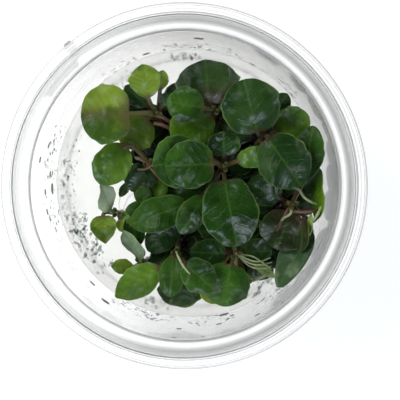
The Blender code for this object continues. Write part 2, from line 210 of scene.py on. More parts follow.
flange_top = CUP_HEIGHT - FLANGE_DROP
flange_under = flange_top - FLANGE_THICKNESS
rim_inside = RIM_RADIUS - RIM_WIDTH
seat_under = SHOULDER_HEIGHT - WALL
cup_corners = [
    (20.0, FLOOR, 0.0),
    (wall_radius(FLOOR), FLOOR, CORNER_RADIUS - WALL),
    (wall_radius(SHOULDER_HEIGHT), SHOULDER_HEIGHT, 0.25),
    (SEAT_RADIUS + 0.25, SHOULDER_HEIGHT, 0.3),
    (rim_inside - RIM_LEAN, flange_under, 0.8),
    (rim_inside, flange_top + 0.6, 0.5),
    (rim_inside + 0.1, CUP_HEIGHT, 0.35),
    (RIM_RADIUS - 0.1, CUP_HEIGHT, 0.35),
    (RIM_RADIUS, flange_top, 0.35),
    (BEAD_RADIUS - 0.45, flange_top, 0.2),
    (BEAD_RADIUS, flange_top + BEAD_HEIGHT, 0.3),
    (BEAD_RADIUS + 0.45, flange_top, 0.2),
    (FLANGE_RADIUS, flange_top, 0.3),
    (FLANGE_RADIUS, flange_top - LIP_DEPTH, 0.2),
    (FLANGE_RADIUS - LIP_WIDTH, flange_top - LIP_DEPTH, 0.2),
    (FLANGE_RADIUS - LIP_WIDTH, flange_under, 0.25),
    (RIM_RADIUS - 0.1, flange_under, 0.5),
    (SEAT_RADIUS + 0.75, seat_under, 0.4),
    (wall_radius(seat_under - 0.4) + WALL, seat_under - 0.4, 0.25),
    (wall_radius(0.0) + WALL, 0.0, CORNER_RADIUS),
    (20.0, 0.0, 0.0),
]
cup = raise_rings("clear_cup", on_axis(rounded(cup_corners)), CUP_SIDES)

# The thumb hollow beside the tab: the foot of the skirt is pushed out over a short arc.
for vertex in cup.data.vertices:
    radius = math.hypot(vertex.co.x, vertex.co.y) / MM
    height = vertex.co.z / MM
    away = abs(math.atan2(vertex.co.y, vertex.co.x) - THUMB_AZIMUTH) / THUMB_SPREAD
    rise = (height - seat_under) / (flange_under - seat_under)
    if away < 1 and 0 < rise < 1 and SEAT_RADIUS - 0.2 < radius < RIM_RADIUS - 0.2:
        share = (1 - rise) ** 0.7 * (1 - away**4)
        vertex.co.xy *= 1 + THUMB_DEPTH * share / radius

# The tab on the flange.
bpy.ops.object.select_all(action="DESELECT")
tab_middle = FLANGE_RADIUS + 0.4 - TAB_SIZE[0] / 2
bpy.ops.mesh.primitive_cube_add(size=1.0, scale=[v * MM for v in TAB_SIZE])
tab = bpy.context.object
tab.rotation_euler[2] = TAB_AZIMUTH
tab_place = (tab_middle * math.cos(TAB_AZIMUTH) * MM, tab_middle * math.sin(TAB_AZIMUTH) * MM)
tab.location = (*tab_place, flange_top * MM)
rounding = tab.modifiers.new("Rounding", "BEVEL")
rounding.width = 0.3 * MM
rounding.segments = 3
select_only(tab)
bpy.ops.object.modifier_apply(modifier="Rounding")
joining = cup.modifiers.new("Tab", "BOOLEAN")
joining.object = tab
joining.operation = "UNION"
joining.solver = "EXACT"
select_only(cup)
bpy.ops.object.modifier_apply(modifier="Tab")
bpy.data.objects.remove(tab, do_unlink=True)
select_only(cup)
bpy.ops.object.shade_smooth_by_angle(angle=math.radians(40))

# Clear moulded polypropylene, IOR 1.49. Its base colour is painted in rings of white and grey, as painted
# shade and reflection where its rim, skirt and step lie at a slant to the eye, darker on the side away
# from the light.
RINGS_FROM = 40.0
LIT_SIDE = Vector((-1.0, 0.05, 0.0))
HOLLOW_PAINTED_SHADE = 0.55
TAB_PAINTED_SHADE = 0.4
CLEARNESS = 0.99
THICK_DULLNESS = 0.5
WALL_ROUGHNESS = 0.08
FOOT_ROUGHNESS = 0.5
DEW_ROUGHNESS = 0.15
clear_plastic, tree, shader = new_material("Moulded polypropylene", "#f3f6f5", WALL_ROUGHNESS, 0.85, 1.49)
spot = add_node(tree, "TexCoord").outputs["Object"]
x, y, z = add_node(tree, "SeparateXYZ", {0: spot}).outputs
flat = add_node(tree, "CombineXYZ", {0: x, 1: y})
reach = add_node(tree, "VectorMath", {0: flat}, operation="LENGTH")
ring_span = {"Value": reach, "From Min": RINGS_FROM * MM, "From Max": FLANGE_RADIUS * MM}
ring = add_node(tree, "MapRange", ring_span)
# Painted shade and reflection: grey rings by radius, a pale set for the lit side and a darker set for the
# far side.
lit_side_painted_rings = add_node(tree, "ValToRGB", {0: ring}, stops=[
    (0.0, "#e2e2e2"), (0.25, "#e2e2e2"), (0.29, "#ffffff"), (0.37, "#ffffff"), (0.44, "#f2f2f2"),
    (0.53, "#d9d9d9"), (0.60, "#d4d4d4"), (0.67, "#dfdfdf"), (0.73, "#eeeeee"), (0.80, "#f0f0f0"),
    (0.83, "#d7d7d7"), (0.86, "#f0f0f0"), (0.93, "#ececec"), (0.96, "#cccccc"), (1.0, "#a8a8a8"),
])
far_side_painted_rings = add_node(tree, "ValToRGB", {0: ring}, stops=[
    (0.0, "#d7d7d7"), (0.30, "#d7d7d7"), (0.335, "#d1d1d1"), (0.37, "#ffffff"), (0.44, "#ececec"),
    (0.50, "#a9a9a9"), (0.56, "#939393"), (0.61, "#a1a1a1"), (0.66, "#cdcdcd"), (0.72, "#f0f0f0"),
    (0.80, "#d9d9d9"), (0.83, "#b5b5b5"), (0.86, "#e0e0e0"), (0.93, "#dadada"), (0.96, "#bebebe"),
    (1.0, "#989898"),
])
to_light = add_node(
    tree, "VectorMath", {0: spot, 1: LIT_SIDE / (FLANGE_RADIUS * MM)}, operation="DOT_PRODUCT"
)
light_share = add_node(
    tree, "MapRange", {"Value": to_light, "From Max": 0.8}, interpolation_type="SMOOTHSTEP"
)
painted_ring_shade = add_node(tree, "Mix", {"Factor": light_share, "A": far_side_painted_rings, "B": lit_side_painted_rings}, data_type="RGBA")
# The thumb hollow's edge and the tab are painted grey, as painted shade of their shape, and they are
# thicker, so they are less clear.
turned = add_node(tree, "Math", {0: y, 1: x}, operation="ARCTAN2")
aside = add_node(tree, "Math", {0: turned, 1: THUMB_AZIMUTH}, operation="SUBTRACT")
apart = add_node(tree, "Math", {0: aside}, operation="ABSOLUTE")
hollow_span = {"Value": apart, "From Min": 0.8 * THUMB_SPREAD, "From Max": 1.1 * THUMB_SPREAD}
hollow = add_node(tree, "MapRange", {**hollow_span, "To Min": HOLLOW_PAINTED_SHADE, "To Max": 0.0})
hollow_edge = add_node(tree, "ValToRGB", {0: ring}, stops=[
    (0.0, "#000000"), (0.40, "#000000"), (0.46, "#ffffff"), (0.50, "#ffffff"), (0.56, "#000000"),
    (1.0, "#000000"),
])
hollowed = add_node(tree, "Math", {0: hollow, 1: hollow_edge}, operation="MULTIPLY")
from_tab = add_node(tree, "VectorMath", {0: flat, 1: (*tab_place, 0.0)}, operation="DISTANCE")
tab_span = {"Value": from_tab, "From Min": 1.2 * MM, "From Max": 2.6 * MM}
tabbed = add_node(tree, "MapRange", {**tab_span, "To Min": TAB_PAINTED_SHADE, "To Max": 0.0})
hollow_tab_shade_and_dulling = add_node(tree, "Math", {0: hollowed, 1: tabbed}, operation="MAXIMUM")
painted_cup_shade = add_node(tree, "Mix", {"Factor": hollow_tab_shade_and_dulling, "A": painted_ring_shade, "B": rgba("#aaaaab")}, data_type="RGBA")
# The lid has scuffed the step and the rim, so they scatter more of the light.
scuff = add_node(tree, "ValToRGB", {0: ring}, stops=[
    (0.0, "#000000"), (0.26, "#000000"), (0.29, "#8c8c8c"), (0.38, "#8c8c8c"), (0.42, "#000000"),
    (0.58, "#000000"), (0.62, "#969696"), (0.745, "#aaaaaa"), (0.78, "#000000"), (1.0, "#000000"),
])
step_span = {"Value": z, "From Min": (seat_under + 0.2) * MM, "From Max": (seat_under + 0.6) * MM}
up_here = add_node(tree, "MapRange", step_span)
scuffed = add_node(tree, "Math", {0: up_here, 1: scuff}, operation="MULTIPLY")
clearness = add_node(tree, "Math", {0: CLEARNESS, 1: scuffed}, operation="SUBTRACT")
dulled = add_node(tree, "Math", {0: hollow_tab_shade_and_dulling, 1: THICK_DULLNESS}, operation="MULTIPLY")
clear_share = add_node(tree, "Math", {0: clearness, 1: dulled}, operation="SUBTRACT")
# The mould was left rough at the foot, so the cup is frosted there, as it is on the scuffed step.
foot_span = {"Value": z, "From Min": 1.5 * MM, "From Max": 4.0 * MM}
frost = add_node(tree, "MapRange", {**foot_span, "To Min": FOOT_ROUGHNESS, "To Max": WALL_ROUGHNESS})
step_scuff = add_node(tree, "ValToRGB", {0: ring}, stops=[
    (0.0, "#000000"), (0.26, "#000000"), (0.29, "#f0f0f0"), (0.38, "#f0f0f0"), (0.42, "#000000"),
    (1.0, "#000000"),
])
step_frost = add_node(tree, "Math", {0: up_here, 1: step_scuff}, operation="MULTIPLY")
frosted = add_node(tree, "Math", {0: frost, 1: step_frost}, operation="MAXIMUM")
# Fine dew lies on the inside of the wall, on the side away from the light.
drop_in = add_node(tree, "Math", {0: z, 1: -math.tan(WALL_TAPER)}, operation="MULTIPLY")
from_wall = add_node(tree, "Math", {0: reach, 1: drop_in}, operation="ADD")
mid_wall = (wall_radius(0.0) + 0.5 * WALL) * MM
inside_face = add_node(tree, "Math", {0: from_wall, 1: mid_wall}, operation="LESS_THAN")
dew_span = {"Value": light_share, "From Max": 0.6}
dew_side = add_node(tree, "MapRange", {**dew_span, "To Min": DEW_ROUGHNESS, "To Max": 0.0})
wall_dew = add_node(tree, "Math", {0: dew_side, 1: inside_face}, operation="MULTIPLY")
roughened = add_node(tree, "Math", {0: frosted, 1: wall_dew}, operation="MAXIMUM")
grain = add_node(tree, "TexNoise", {"Vector": spot, "Scale": 350.0, "Detail": 2.0})
ripple = add_node(tree, "Bump", {"Strength": 0.12, "Distance": 0.1 * MM, "Height": grain})
set_inputs(shader, {
    "Base Color": painted_cup_shade, "Transmission Weight": clear_share, "Roughness": roughened, "Normal": ripple,
})
cup.data.materials.clear()
cup.data.materials.append(clear_plastic)
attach(cup, "root")
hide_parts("cup")


# The nutrient gel: a clear, faintly cloudy gel that was poured hot into the cup, so it fills the
# bottom and climbs the wall a little at its edge.
GEL_DEPTH = 17.2
GAP = 0.3
MENISCUS = 0.8
MENISCUS_WIDTH = 2.6
GEL_TOP = FLOOR + GAP + GEL_DEPTH
GEL_SIDES = 128
SKIN_GAP = 0.05

gel_bottom = FLOOR + SKIN_GAP
gel_corners = [
    (8.0, GEL_TOP, 0.0),
    (wall_radius(GEL_TOP) - MENISCUS_WIDTH, GEL_TOP, 1.6),
    (wall_radius(GEL_TOP + MENISCUS) - SKIN_GAP, GEL_TOP + MENISCUS, 0.12),
    (wall_radius(gel_bottom) - SKIN_GAP, gel_bottom, CORNER_RADIUS - WALL),
    (8.0, gel_bottom, 0.0),
]
gel = raise_rings("clear_gel", on_axis(rounded(gel_corners, 6)), GEL_SIDES)
select_only(gel)
bpy.ops.object.shade_smooth_by_angle(angle=math.radians(40))

# Set gel is mostly water: clear and wet, IOR 1.34. Its underside takes the frost of the cup's foot, and
# fine dew makes its top matt near the wall, and greyer there in soft patches.
GEL_ROUGHNESS = 0.08
UNDERSIDE_ROUGHNESS = 0.55
DEWY_ROUGHNESS = 0.42
set_gel, tree, shader = new_material("Set nutrient gel", "#fdfefb", GEL_ROUGHNESS, 0.99, 1.34)
spot = add_node(tree, "TexCoord").outputs["Object"]
x, y, z = add_node(tree, "SeparateXYZ", {0: spot}).outputs
flat = add_node(tree, "CombineXYZ", {0: x, 1: y})
reach = add_node(tree, "VectorMath", {0: flat}, operation="LENGTH")
waves = add_node(tree, "TexNoise", {"Vector": spot, "Scale": 120.0, "Detail": 2.0})
ripple = add_node(tree, "Bump", {"Strength": 0.25, "Distance": 0.3 * MM, "Height": waves})
foot_span = {"Value": z, "From Min": 2.5 * MM, "From Max": 5.0 * MM}
cloudy = add_node(tree, "MapRange", {**foot_span, "To Min": UNDERSIDE_ROUGHNESS, "To Max": GEL_ROUGHNESS})
outer = add_node(
    tree,
    "MapRange",
    {"Value": reach, "From Min": 31.0 * MM, "From Max": 37.0 * MM},
    interpolation_type="SMOOTHSTEP",
)
clouds = add_node(tree, "TexNoise", {"Vector": spot, "Scale": 180.0, "Detail": 3.0})
cloud = add_node(tree, "MapRange", {"Value": clouds, "From Min": 0.42, "From Max": 0.62})
on_top = add_node(tree, "Math", {0: z, 1: (GEL_TOP - 0.2) * MM}, operation="GREATER_THAN")
clouded = add_node(tree, "Math", {0: outer, 1: cloud}, operation="MULTIPLY")
dew = add_node(tree, "Math", {0: clouded, 1: on_top}, operation="MULTIPLY")
dewy = add_node(tree, "Mix", {"Factor": dew, "A": rgba("#fdfefb"), "B": rgba("#eceeec")}, data_type="RGBA")
outer_top = add_node(tree, "Math", {0: outer, 1: on_top}, operation="MULTIPLY")
matt = add_node(tree, "Math", {0: outer_top, 1: DEWY_ROUGHNESS}, operation="MULTIPLY")
rough = add_node(tree, "Math", {0: cloudy, 1: matt}, operation="MAXIMUM")
set_inputs(shader, {"Base Color": dewy, "Roughness": rough, "Normal": ripple})
gel.data.materials.clear()
gel.data.materials.append(set_gel)
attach(gel, "root")
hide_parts("nutrient_gel")


# The shoots: each has a stem that stands in the gel, with its leaves set round it. A leaf row gives
# the middle of its blade, its heading, size and bend; node is where its stalk leaves the stem.
Leaf = namedtuple(
    "Leaf", "x y height heading length width pitch roll curl fold belly blunt node tone"
)
Shoot = namedtuple("Shoot", "letter base tip height leaves")

SHOOTS = [
    Shoot("a", (-7.0, 18.5), (-8.8, 21.0), 18.0, [
        Leaf(-23.3, 20.3, 21.5, 182, 13.7, 17.6, 4, 6, -30, 0.10, 0.95, 0.50, 17.0, "young"),
        Leaf(-11.5, 29.6, 22.5, 100, 9.7, 9.6, 8, -4, -25, 0.12, 1.15, 0.65, 15.6, "young"),
        Leaf(-7.2, 30.2, 18.0, 80, 5.7, 4.2, 15, 0, -20, 0.15, 1.10, 0.60, 13.5, "young"),
        Leaf(-15.0, 26.0, 14.5, 138, 8.5, 6.0, 5, 0, -25, 0.05, 1.00, 0.60, 10.5, "dark"),
        Leaf(-15.5, 15.4, 13.0, 225, 10.6, 12.4, 0, 0, -30, -0.10, 1.00, 0.50, 7.0, "dark"),
        Leaf(-5.8, 24.6, 19.0, 55, 4.4, 4.0, 8, 0, -20, 0.10, 1.05, 0.60, 15.0, "mid"),
    ]),
    Shoot("b", (-9.0, 5.0), (-10.8, 6.4), 14.0, [
        Leaf(-21.8, 5.8, 17.0, 235, 13.5, 11.0, 0, -6, -35, 0.12, 1.00, 0.55, 13.0, "young"),
        Leaf(-14.4, 1.6, 12.0, 235, 8.6, 9.6, 0, 0, -30, 0.05, 1.00, 0.52, 9.5, "dark"),
        Leaf(-19.0, -1.6, 9.0, 238, 5.0, 2.8, 20, 0, -10, 0.20, 1.00, 0.60, 5.0, "dark"),
        Leaf(-8.6, -1.2, 10.0, 280, 6.0, 5.4, 10, 0, -25, 0.10, 1.05, 0.60, 7.0, "young"),
    ]),
    Shoot("c", (8.0, 20.0), (8.8, 21.6), 19.0, [
        Leaf(6.0, 29.8, 19.5, 96, 13.2, 18.6, -4, 0, -45, -0.20, 1.00, 0.50, 15.0, "dark"),
        Leaf(0.0, 22.9, 24.0, 170, 10.6, 10.4, 6, 5, -35, -0.08, 1.00, 0.50, 18.0, "mid"),
        Leaf(1.4, 16.6, 18.0, 218, 13.5, 12.4, 0, 0, -30, -0.08, 1.00, 0.50, 13.0, "mid"),
        Leaf(14.8, 17.0, 12.5, 330, 9.0, 9.0, 4, 0, -25, 0.00, 1.00, 0.52, 9.0, "dark"),
    ]),
    Shoot("d", (20.0, 11.5), (21.7, 13.5), 19.0, [
        Leaf(18.4, 22.6, 24.5, 105, 15.5, 17.0, 0, 0, -35, -0.10, 1.00, 0.48, 17.6, "dark"),
        Leaf(28.0, 6.6, 25.0, 305, 16.5, 15.2, 2, 0, -30, -0.06, 1.00, 0.50, 18.4, "dark"),
        Leaf(27.2, 23.6, 13.5, 56, 7.0, 6.0, 5, 0, -20, 0.05, 1.00, 0.55, 10.0, "dark"),
        Leaf(30.8, 17.8, 15.5, 26, 10.0, 10.5, 5, 0, -20, 0.05, 1.00, 0.52, 12.5, "dark"),
    ]),
    Shoot("e", (9.5, 4.0), (10.9, 5.5), 23.0, [
        Leaf(1.2, 5.9, 28.0, 183, 13.6, 14.0, 2, -4, -40, 0.05, 1.00, 0.48, 22.2, "fresh"),
        Leaf(12.9, -7.8, 27.5, 281, 19.6, 16.0, 2, -5, -56, 0.06, 0.95, 0.50, 21.0, "mid"),
        Leaf(-2.4, 6.8, 23.0, 190, 14.4, 15.4, 2, 0, -30, -0.05, 1.00, 0.50, 18.0, "fresh"),
        Leaf(19.4, 8.1, 20.5, 14, 10.0, 6.4, 6, 8, -25, 0.06, 1.00, 0.55, 16.4, "mid"),
        Leaf(10.8, 11.9, 20.5, 91, 6.8, 9.6, 6, 0, -25, 0.02, 1.00, 0.50, 17.4, "mid"),
        Leaf(1.6, -8.6, 21.0, 238, 12.5, 8.6, 0, -14, -30, 0.08, 1.00, 0.60, 13.5, "mid"),
        Leaf(1.2, -0.8, 16.0, 202, 9.0, 6.6, 0, 0, -25, 0.05, 1.00, 0.55, 11.0, "dark"),
    ]),
    Shoot("f", (28.0, -5.0), (30.3, -5.7), 19.0, [
        Leaf(35.0, 9.4, 19.0, 80, 15.5, 9.4, 8, -20, -25, 0.05, 1.00, 0.55, 16.5, "dark"),
        Leaf(38.0, -3.4, 18.0, 84, 15.0, 8.0, 25, -62, -10, 0.05, 1.00, 0.70, 13.0, "fresh"),
        Leaf(28.0, -13.4, 17.0, 251, 11.4, 14.4, 0, 0, -30, -0.06, 1.00, 0.50, 15.0, "dark"),
        Leaf(31.2, -21.6, 15.0, 240, 19.5, 10.0, 0, 26, -30, 0.10, 1.00, 0.65, 9.0, "mid"),
        Leaf(22.4, -1.6, 13.5, 155, 10.6, 9.0, 6, 0, -20, 0.04, 1.00, 0.52, 11.0, "dark"),
    ]),
    Shoot("g", (-3.0, -17.5), (-3.1, -19.3), 17.0, [
        Leaf(-4.4, -26.6, 18.5, 265, 12.0, 7.6, 4, 0, -40, 0.12, 1.00, 0.62, 14.5, "mid"),
        Leaf(3.8, -26.2, 20.5, 318, 11.4, 9.8, 6, -6, -35, 0.14, 1.00, 0.60, 15.6, "mid"),
        Leaf(-2.2, -31.8, 11.5, 268, 8.8, 13.8, 0, 0, -25, -0.10, 1.00, 0.50, 7.0, "mid"),
        Leaf(-14.4, -28.4, 17.0, 213, 15.6, 9.6, 4, 8, -25, 0.15, 0.92, 0.72, 12.8, "fresh"),
    ]),
    Shoot("h", (-21.0, -9.0), (-21.4, -8.5), 8.5, [
        Leaf(-24.2, -3.8, 12.2, 108, 9.0, 8.8, 26, 58, -10, 0.10, 1.00, 0.70, 7.6, "under"),
        Leaf(-25.0, -13.5, 9.6, 276, 8.3, 8.0, 5, 0, -25, 0.12, 0.72, 0.85, 4.8, "young"),
        Leaf(-19.3, -12.2, 8.0, 300, 4.8, 4.4, 10, 0, -20, 0.10, 1.00, 0.60, 5.5, "young"),
    ]),
    Shoot("i", (13.0, -17.5), (14.3, -19.8), 15.0, [
        Leaf(11.4, -29.2, 17.5, 256, 12.4, 14.0, 2, 0, -35, -0.08, 1.00, 0.50, 13.6, "mid"),
        Leaf(6.0, -20.0, 12.5, 178, 10.5, 8.2, 4, 0, -25, 0.00, 1.00, 0.55, 10.0, "dark"),
        Leaf(20.8, -19.6, 12.5, 2, 8.0, 8.0, 4, 0, -25, 0.00, 1.00, 0.55, 11.2, "dark"),
        Leaf(17.4, -28.2, 9.5, 290, 3.4, 3.0, 10, 0, -10, 0.10, 1.00, 0.60, 6.5, "young"),
        Leaf(22.6, -25.4, 9.0, 326, 8.0, 3.0, 8, 0, -15, 0.15, 1.00, 0.70, 4.5, "pale"),
    ]),
    Shoot("j", (1.0, -7.0), (1.5, -6.5), 14.0, [
        Leaf(-8.2, -8.5, 18.0, 200, 17.6, 10.4, 0, 6, -30, 0.04, 1.00, 0.58, 12.8, "mid"),
        Leaf(-7.2, -14.6, 11.5, 228, 14.0, 9.6, 0, 0, -25, 0.00, 1.00, 0.55, 9.0, "dark"),
        Leaf(7.4, -12.6, 9.0, 318, 9.0, 8.4, 0, 0, -25, 0.00, 1.00, 0.52, 6.5, "dark"),
    ]),
    Shoot("k", (-13.0, -23.5), (-14.4, -23.2), 9.0, [
        Leaf(-16.2, -17.8, 13.2, 117, 10.6, 8.2, 22, -48, -15, 0.08, 1.00, 0.72, 7.8, "under"),
        Leaf(-19.8, -24.6, 8.0, 178, 6.6, 4.8, 8, 0, -20, 0.10, 1.00, 0.68, 5.6, "young"),
    ]),
]

STEM_RADIUS = 1.0
SKIN_RADIUS = 0.92 * STEM_RADIUS
STEM_SIDES = 16
ROOTED_DEPTH = 5.0
NODE_SWELL = 0.12
NODE_LENGTH = 0.6
RING_SPACING = 0.7
TIP_TAPER = 0.25
END_ROUNDING = 0.55


def stem_point(shoot, height):
    """The middle of a stem at a height over the gel, in mm: upright at its foot, then leaning."""
    share = max(0.0, height) / shoot.height
    lean = share * share * (3 - 2 * share) if share < 1 else share
    x = shoot.base[0] + (shoot.tip[0] - shoot.base[0]) * lean
    y = shoot.base[1] + (shoot.tip[1] - shoot.base[1]) * lean
    return Vector((x, y, GEL_TOP + height)) * MM


# Living stem: reddish brown, satin, greener towards the tip, with a fine mottled grain. The youngest
# shoots have a plain green one.
stem_skin, tree, shader = new_material("Living stem", "#4a2b22", 0.42)
spot = add_node(tree, "TexCoord").outputs["Object"]
height_here = add_node(tree, "SeparateXYZ", {0: spot}).outputs[2]
stem_span = {"Value": height_here, "From Min": 20.0 * MM, "From Max": 42.0 * MM}
rise = add_node(tree, "MapRange", stem_span)
mottle = add_node(tree, "TexNoise", {"Vector": spot, "Scale": 900.0, "Detail": 3.0})
browns = {"Factor": mottle, "A": rgba("#3a211b"), "B": rgba("#5b3a2a")}
tint = add_node(tree, "Mix", browns, data_type="RGBA")
height_tint = add_node(tree, "Mix", {"Factor": rise, "A": tint, "B": rgba("#5d5a2c")}, data_type="RGBA")
skin = add_node(tree, "Bump", {"Strength": 0.4, "Distance": 0.1 * MM, "Height": mottle})
set_inputs(shader, {"Base Color": height_tint, "Normal": skin})
green_stem, *_ = new_material("Young green stem", "#6b7048", 0.4)
YOUNG_SHOOTS = "hk"

for shoot in SHOOTS:
    nodes = sorted(leaf.node for leaf in shoot.leaves)
    steps = int((shoot.height + ROOTED_DEPTH) / RING_SPACING)
    body = shoot.height + ROOTED_DEPTH - 1.0
    heights = [-ROOTED_DEPTH]
    heights += [-ROOTED_DEPTH + 0.5 + body * i / steps for i in range(steps + 1)]
    heights += [shoot.height - 0.2, shoot.height]
    rings = []
    for height in heights:
        swell = sum(math.exp(-(((height - node) / NODE_LENGTH) ** 2)) for node in nodes)
        taper = 1.0 - TIP_TAPER * max(0.0, height) / shoot.height
        end = END_ROUNDING if height in (heights[0], heights[-1]) else 1.0
        radius = SKIN_RADIUS * taper * end * (1 + NODE_SWELL * min(1.0, swell))
        rings.append((stem_point(shoot, height), radius * MM))
    stem = raise_rings(f"shoot_stem_{shoot.letter}", rings, STEM_SIDES)
    stem.data.materials.append(green_stem if shoot.letter in YOUNG_SHOOTS else stem_skin)
    select_only(stem)
    bpy.ops.object.shade_smooth_by_angle(angle=math.radians(60))
    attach(stem, "root")
    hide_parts(f"stem_{shoot.letter}")


# The leaves: each is a stalk and a rounded blade in one, grown in high humidity, so it is soft,
# glossy and a little puckered between its veins. Each starts as a flat sheet that is bent to its
# place, swelled along its stalk and midrib, given its thickness and smoothed.
UP = Vector((0.0, 0.0, 1.0))
LEAF_THICKNESS = 1.0
STALK_WIDTH = 1.15
STALK_ANGLE = math.radians(53.0)
STALK_EASE = 0.35
LEAF_SHEET = (30, 16, 7)
VEIN_SWEEP = 0.65
VEIN_COUNT = 6.5
PUCKER = 0.10
CRINKLE = 0.26
MIDRIB_GROOVE = 0.30
BULGE = 0.70
MARGIN_WAVE = 0.20
SCALLOP = 0.024
TOOTH = 0.07
LOBE = 0.30
WALL_CLEARANCE = 0.7
WALL_CLIMB = 0.8


def blade_frame(leaf):
    heading = math.radians(leaf.heading)
    along = Vector((math.cos(heading), math.sin(heading), 0.0))
    return along, Vector((-along.y, along.x, 0.0))


def midrib(leaf, share):
    """A point of the midrib in mm and its direction, share running from 0 at the stalk to 1."""
    along, _ = blade_frame(leaf)
    steps = 12
    point = Vector((leaf.x, leaf.y, GEL_TOP + leaf.height))
    reach = share - 0.5
    for i in range(steps):
        angle = math.radians(leaf.pitch + leaf.curl * reach * (i + 0.5) / steps)
        point = point + (along * math.cos(angle) + UP * math.sin(angle)) * (leaf.length * reach / steps)
    angle = math.radians(leaf.pitch + leaf.curl * reach)
    return point, along * math.cos(angle) + UP * math.sin(angle)


def half_width(leaf, share):
    swell = max(0.0, math.sin(math.pi * share**leaf.belly)) ** leaf.blunt
    least = STALK_WIDTH / 2 if share < 0.5 else 0.04 * leaf.width
    return max(least, swell * leaf.width / 2)


def keep_in_cup(point):
    """A leaf that would pass through the wall bends up along it instead."""
    reach = math.hypot(point.x, point.y)
    most = wall_radius(point.z) - WALL_CLEARANCE
    over = reach - most
    if over <= 0:
        return point
    return Vector((point.x * most / reach, point.y * most / reach, point.z + WALL_CLIMB * over))


def blade_point(leaf, share, side, wave):
    """A point of the blade in mm, with its lobes, veins and waves. side runs from -1 to 1 across it."""
    centre, forward = midrib(leaf, share)
    _, left = blade_frame(leaf)
    roll = math.radians(leaf.roll)
    across = left * math.cos(roll) + forward.cross(left) * math.sin(roll)
    out = forward.cross(across)
    half = half_width(leaf, share)
    body = math.sin(math.pi * min(1.0, max(0.0, share))) ** 0.5
    around = share + 0.13 * side
    scallop = SCALLOP * math.sin(wave * 7 + math.tau * 4.5 * around + 2 * side)
    scallop += SCALLOP * math.sin(wave * 3 + math.tau * 2.2 * around - 1.5 * side)
    scallop += TOOTH * noise.noise(Vector((13 * around, 3 * side, wave * 11)))
    half *= 1 + scallop * body * abs(side) ** 3
    off = abs(side) * half
    vein = vein_place(leaf, share, side)
    relief = -PUCKER * math.cos(math.tau * vein) * min(1.0, off / 1.5) * (1 - side**4) * body
    relief -= MIDRIB_GROOVE * math.exp(-((off / 1.1) ** 2)) * body
    spot = Vector((share * leaf.length, side * half, 0.0))
    relief += BULGE * noise.noise(spot * 0.21 + Vector((wave * 9, 0, 0))) * body
    relief += CRINKLE * noise.noise(spot * 0.62 + Vector((0, 0, wave * 5))) * body
    margin = noise.noise(spot * 0.17 + Vector((0, wave * 9, 3)))
    relief += MARGIN_WAVE * leaf.width * side * side * margin * body
    lift = leaf.fold * half * abs(side) ** 1.5 + relief
    lobe = LOBE * half * side * side * max(0.0, 1 - share / 0.4)
    return centre + across * (side * half) + out * lift - forward * lobe, across


def vein_place(leaf, share, side):
    """How many side veins lie between the stalk and this place, counted along the vein's sweep."""
    off = abs(side) * half_width(leaf, share)
    count = (share * leaf.length - VEIN_SWEEP * off) / leaf.length * VEIN_COUNT
    return count + (0.5 if side > 0 else 0.0)


def on_curve(controls, share):
    """A point of the Bezier curve with these four controls."""
    left = 1 - share
    weights = (left**3, 3 * share * left**2, 3 * share**2 * left, share**3)
    return sum((control * weight for control, weight in zip(controls, weights)), Vector())


def stalk_point(leaf, shoot, share, side):
    """A point of the stalk in mm, share running from 0 inside the stem to 1 at the blade."""
    foot, forward = midrib(leaf, 0.0)
    _, left = blade_frame(leaf)
    roll = math.radians(leaf.roll)
    across = left * math.cos(roll) + forward.cross(left) * math.sin(roll)
    axis = stem_point(shoot, leaf.node) / MM
    outward = Vector((foot.x - axis.x, foot.y - axis.y, 0.0)).normalized()
    start = axis + outward * (0.5 * STEM_RADIUS)
    rise = outward * math.cos(STALK_ANGLE) + UP * math.sin(STALK_ANGLE)
    ease = STALK_EASE * (foot - start).length
    controls = (start, start + rise * ease, foot - forward * ease, foot)
    centre = on_curve(controls, share)
    nearby = share + 0.02 if share < 0.5 else share - 0.02
    towards = (on_curve(controls, nearby) - centre).normalized()
    across = (across - towards * across.dot(towards)).normalized()
    return centre + across * (side * STALK_WIDTH / 2)


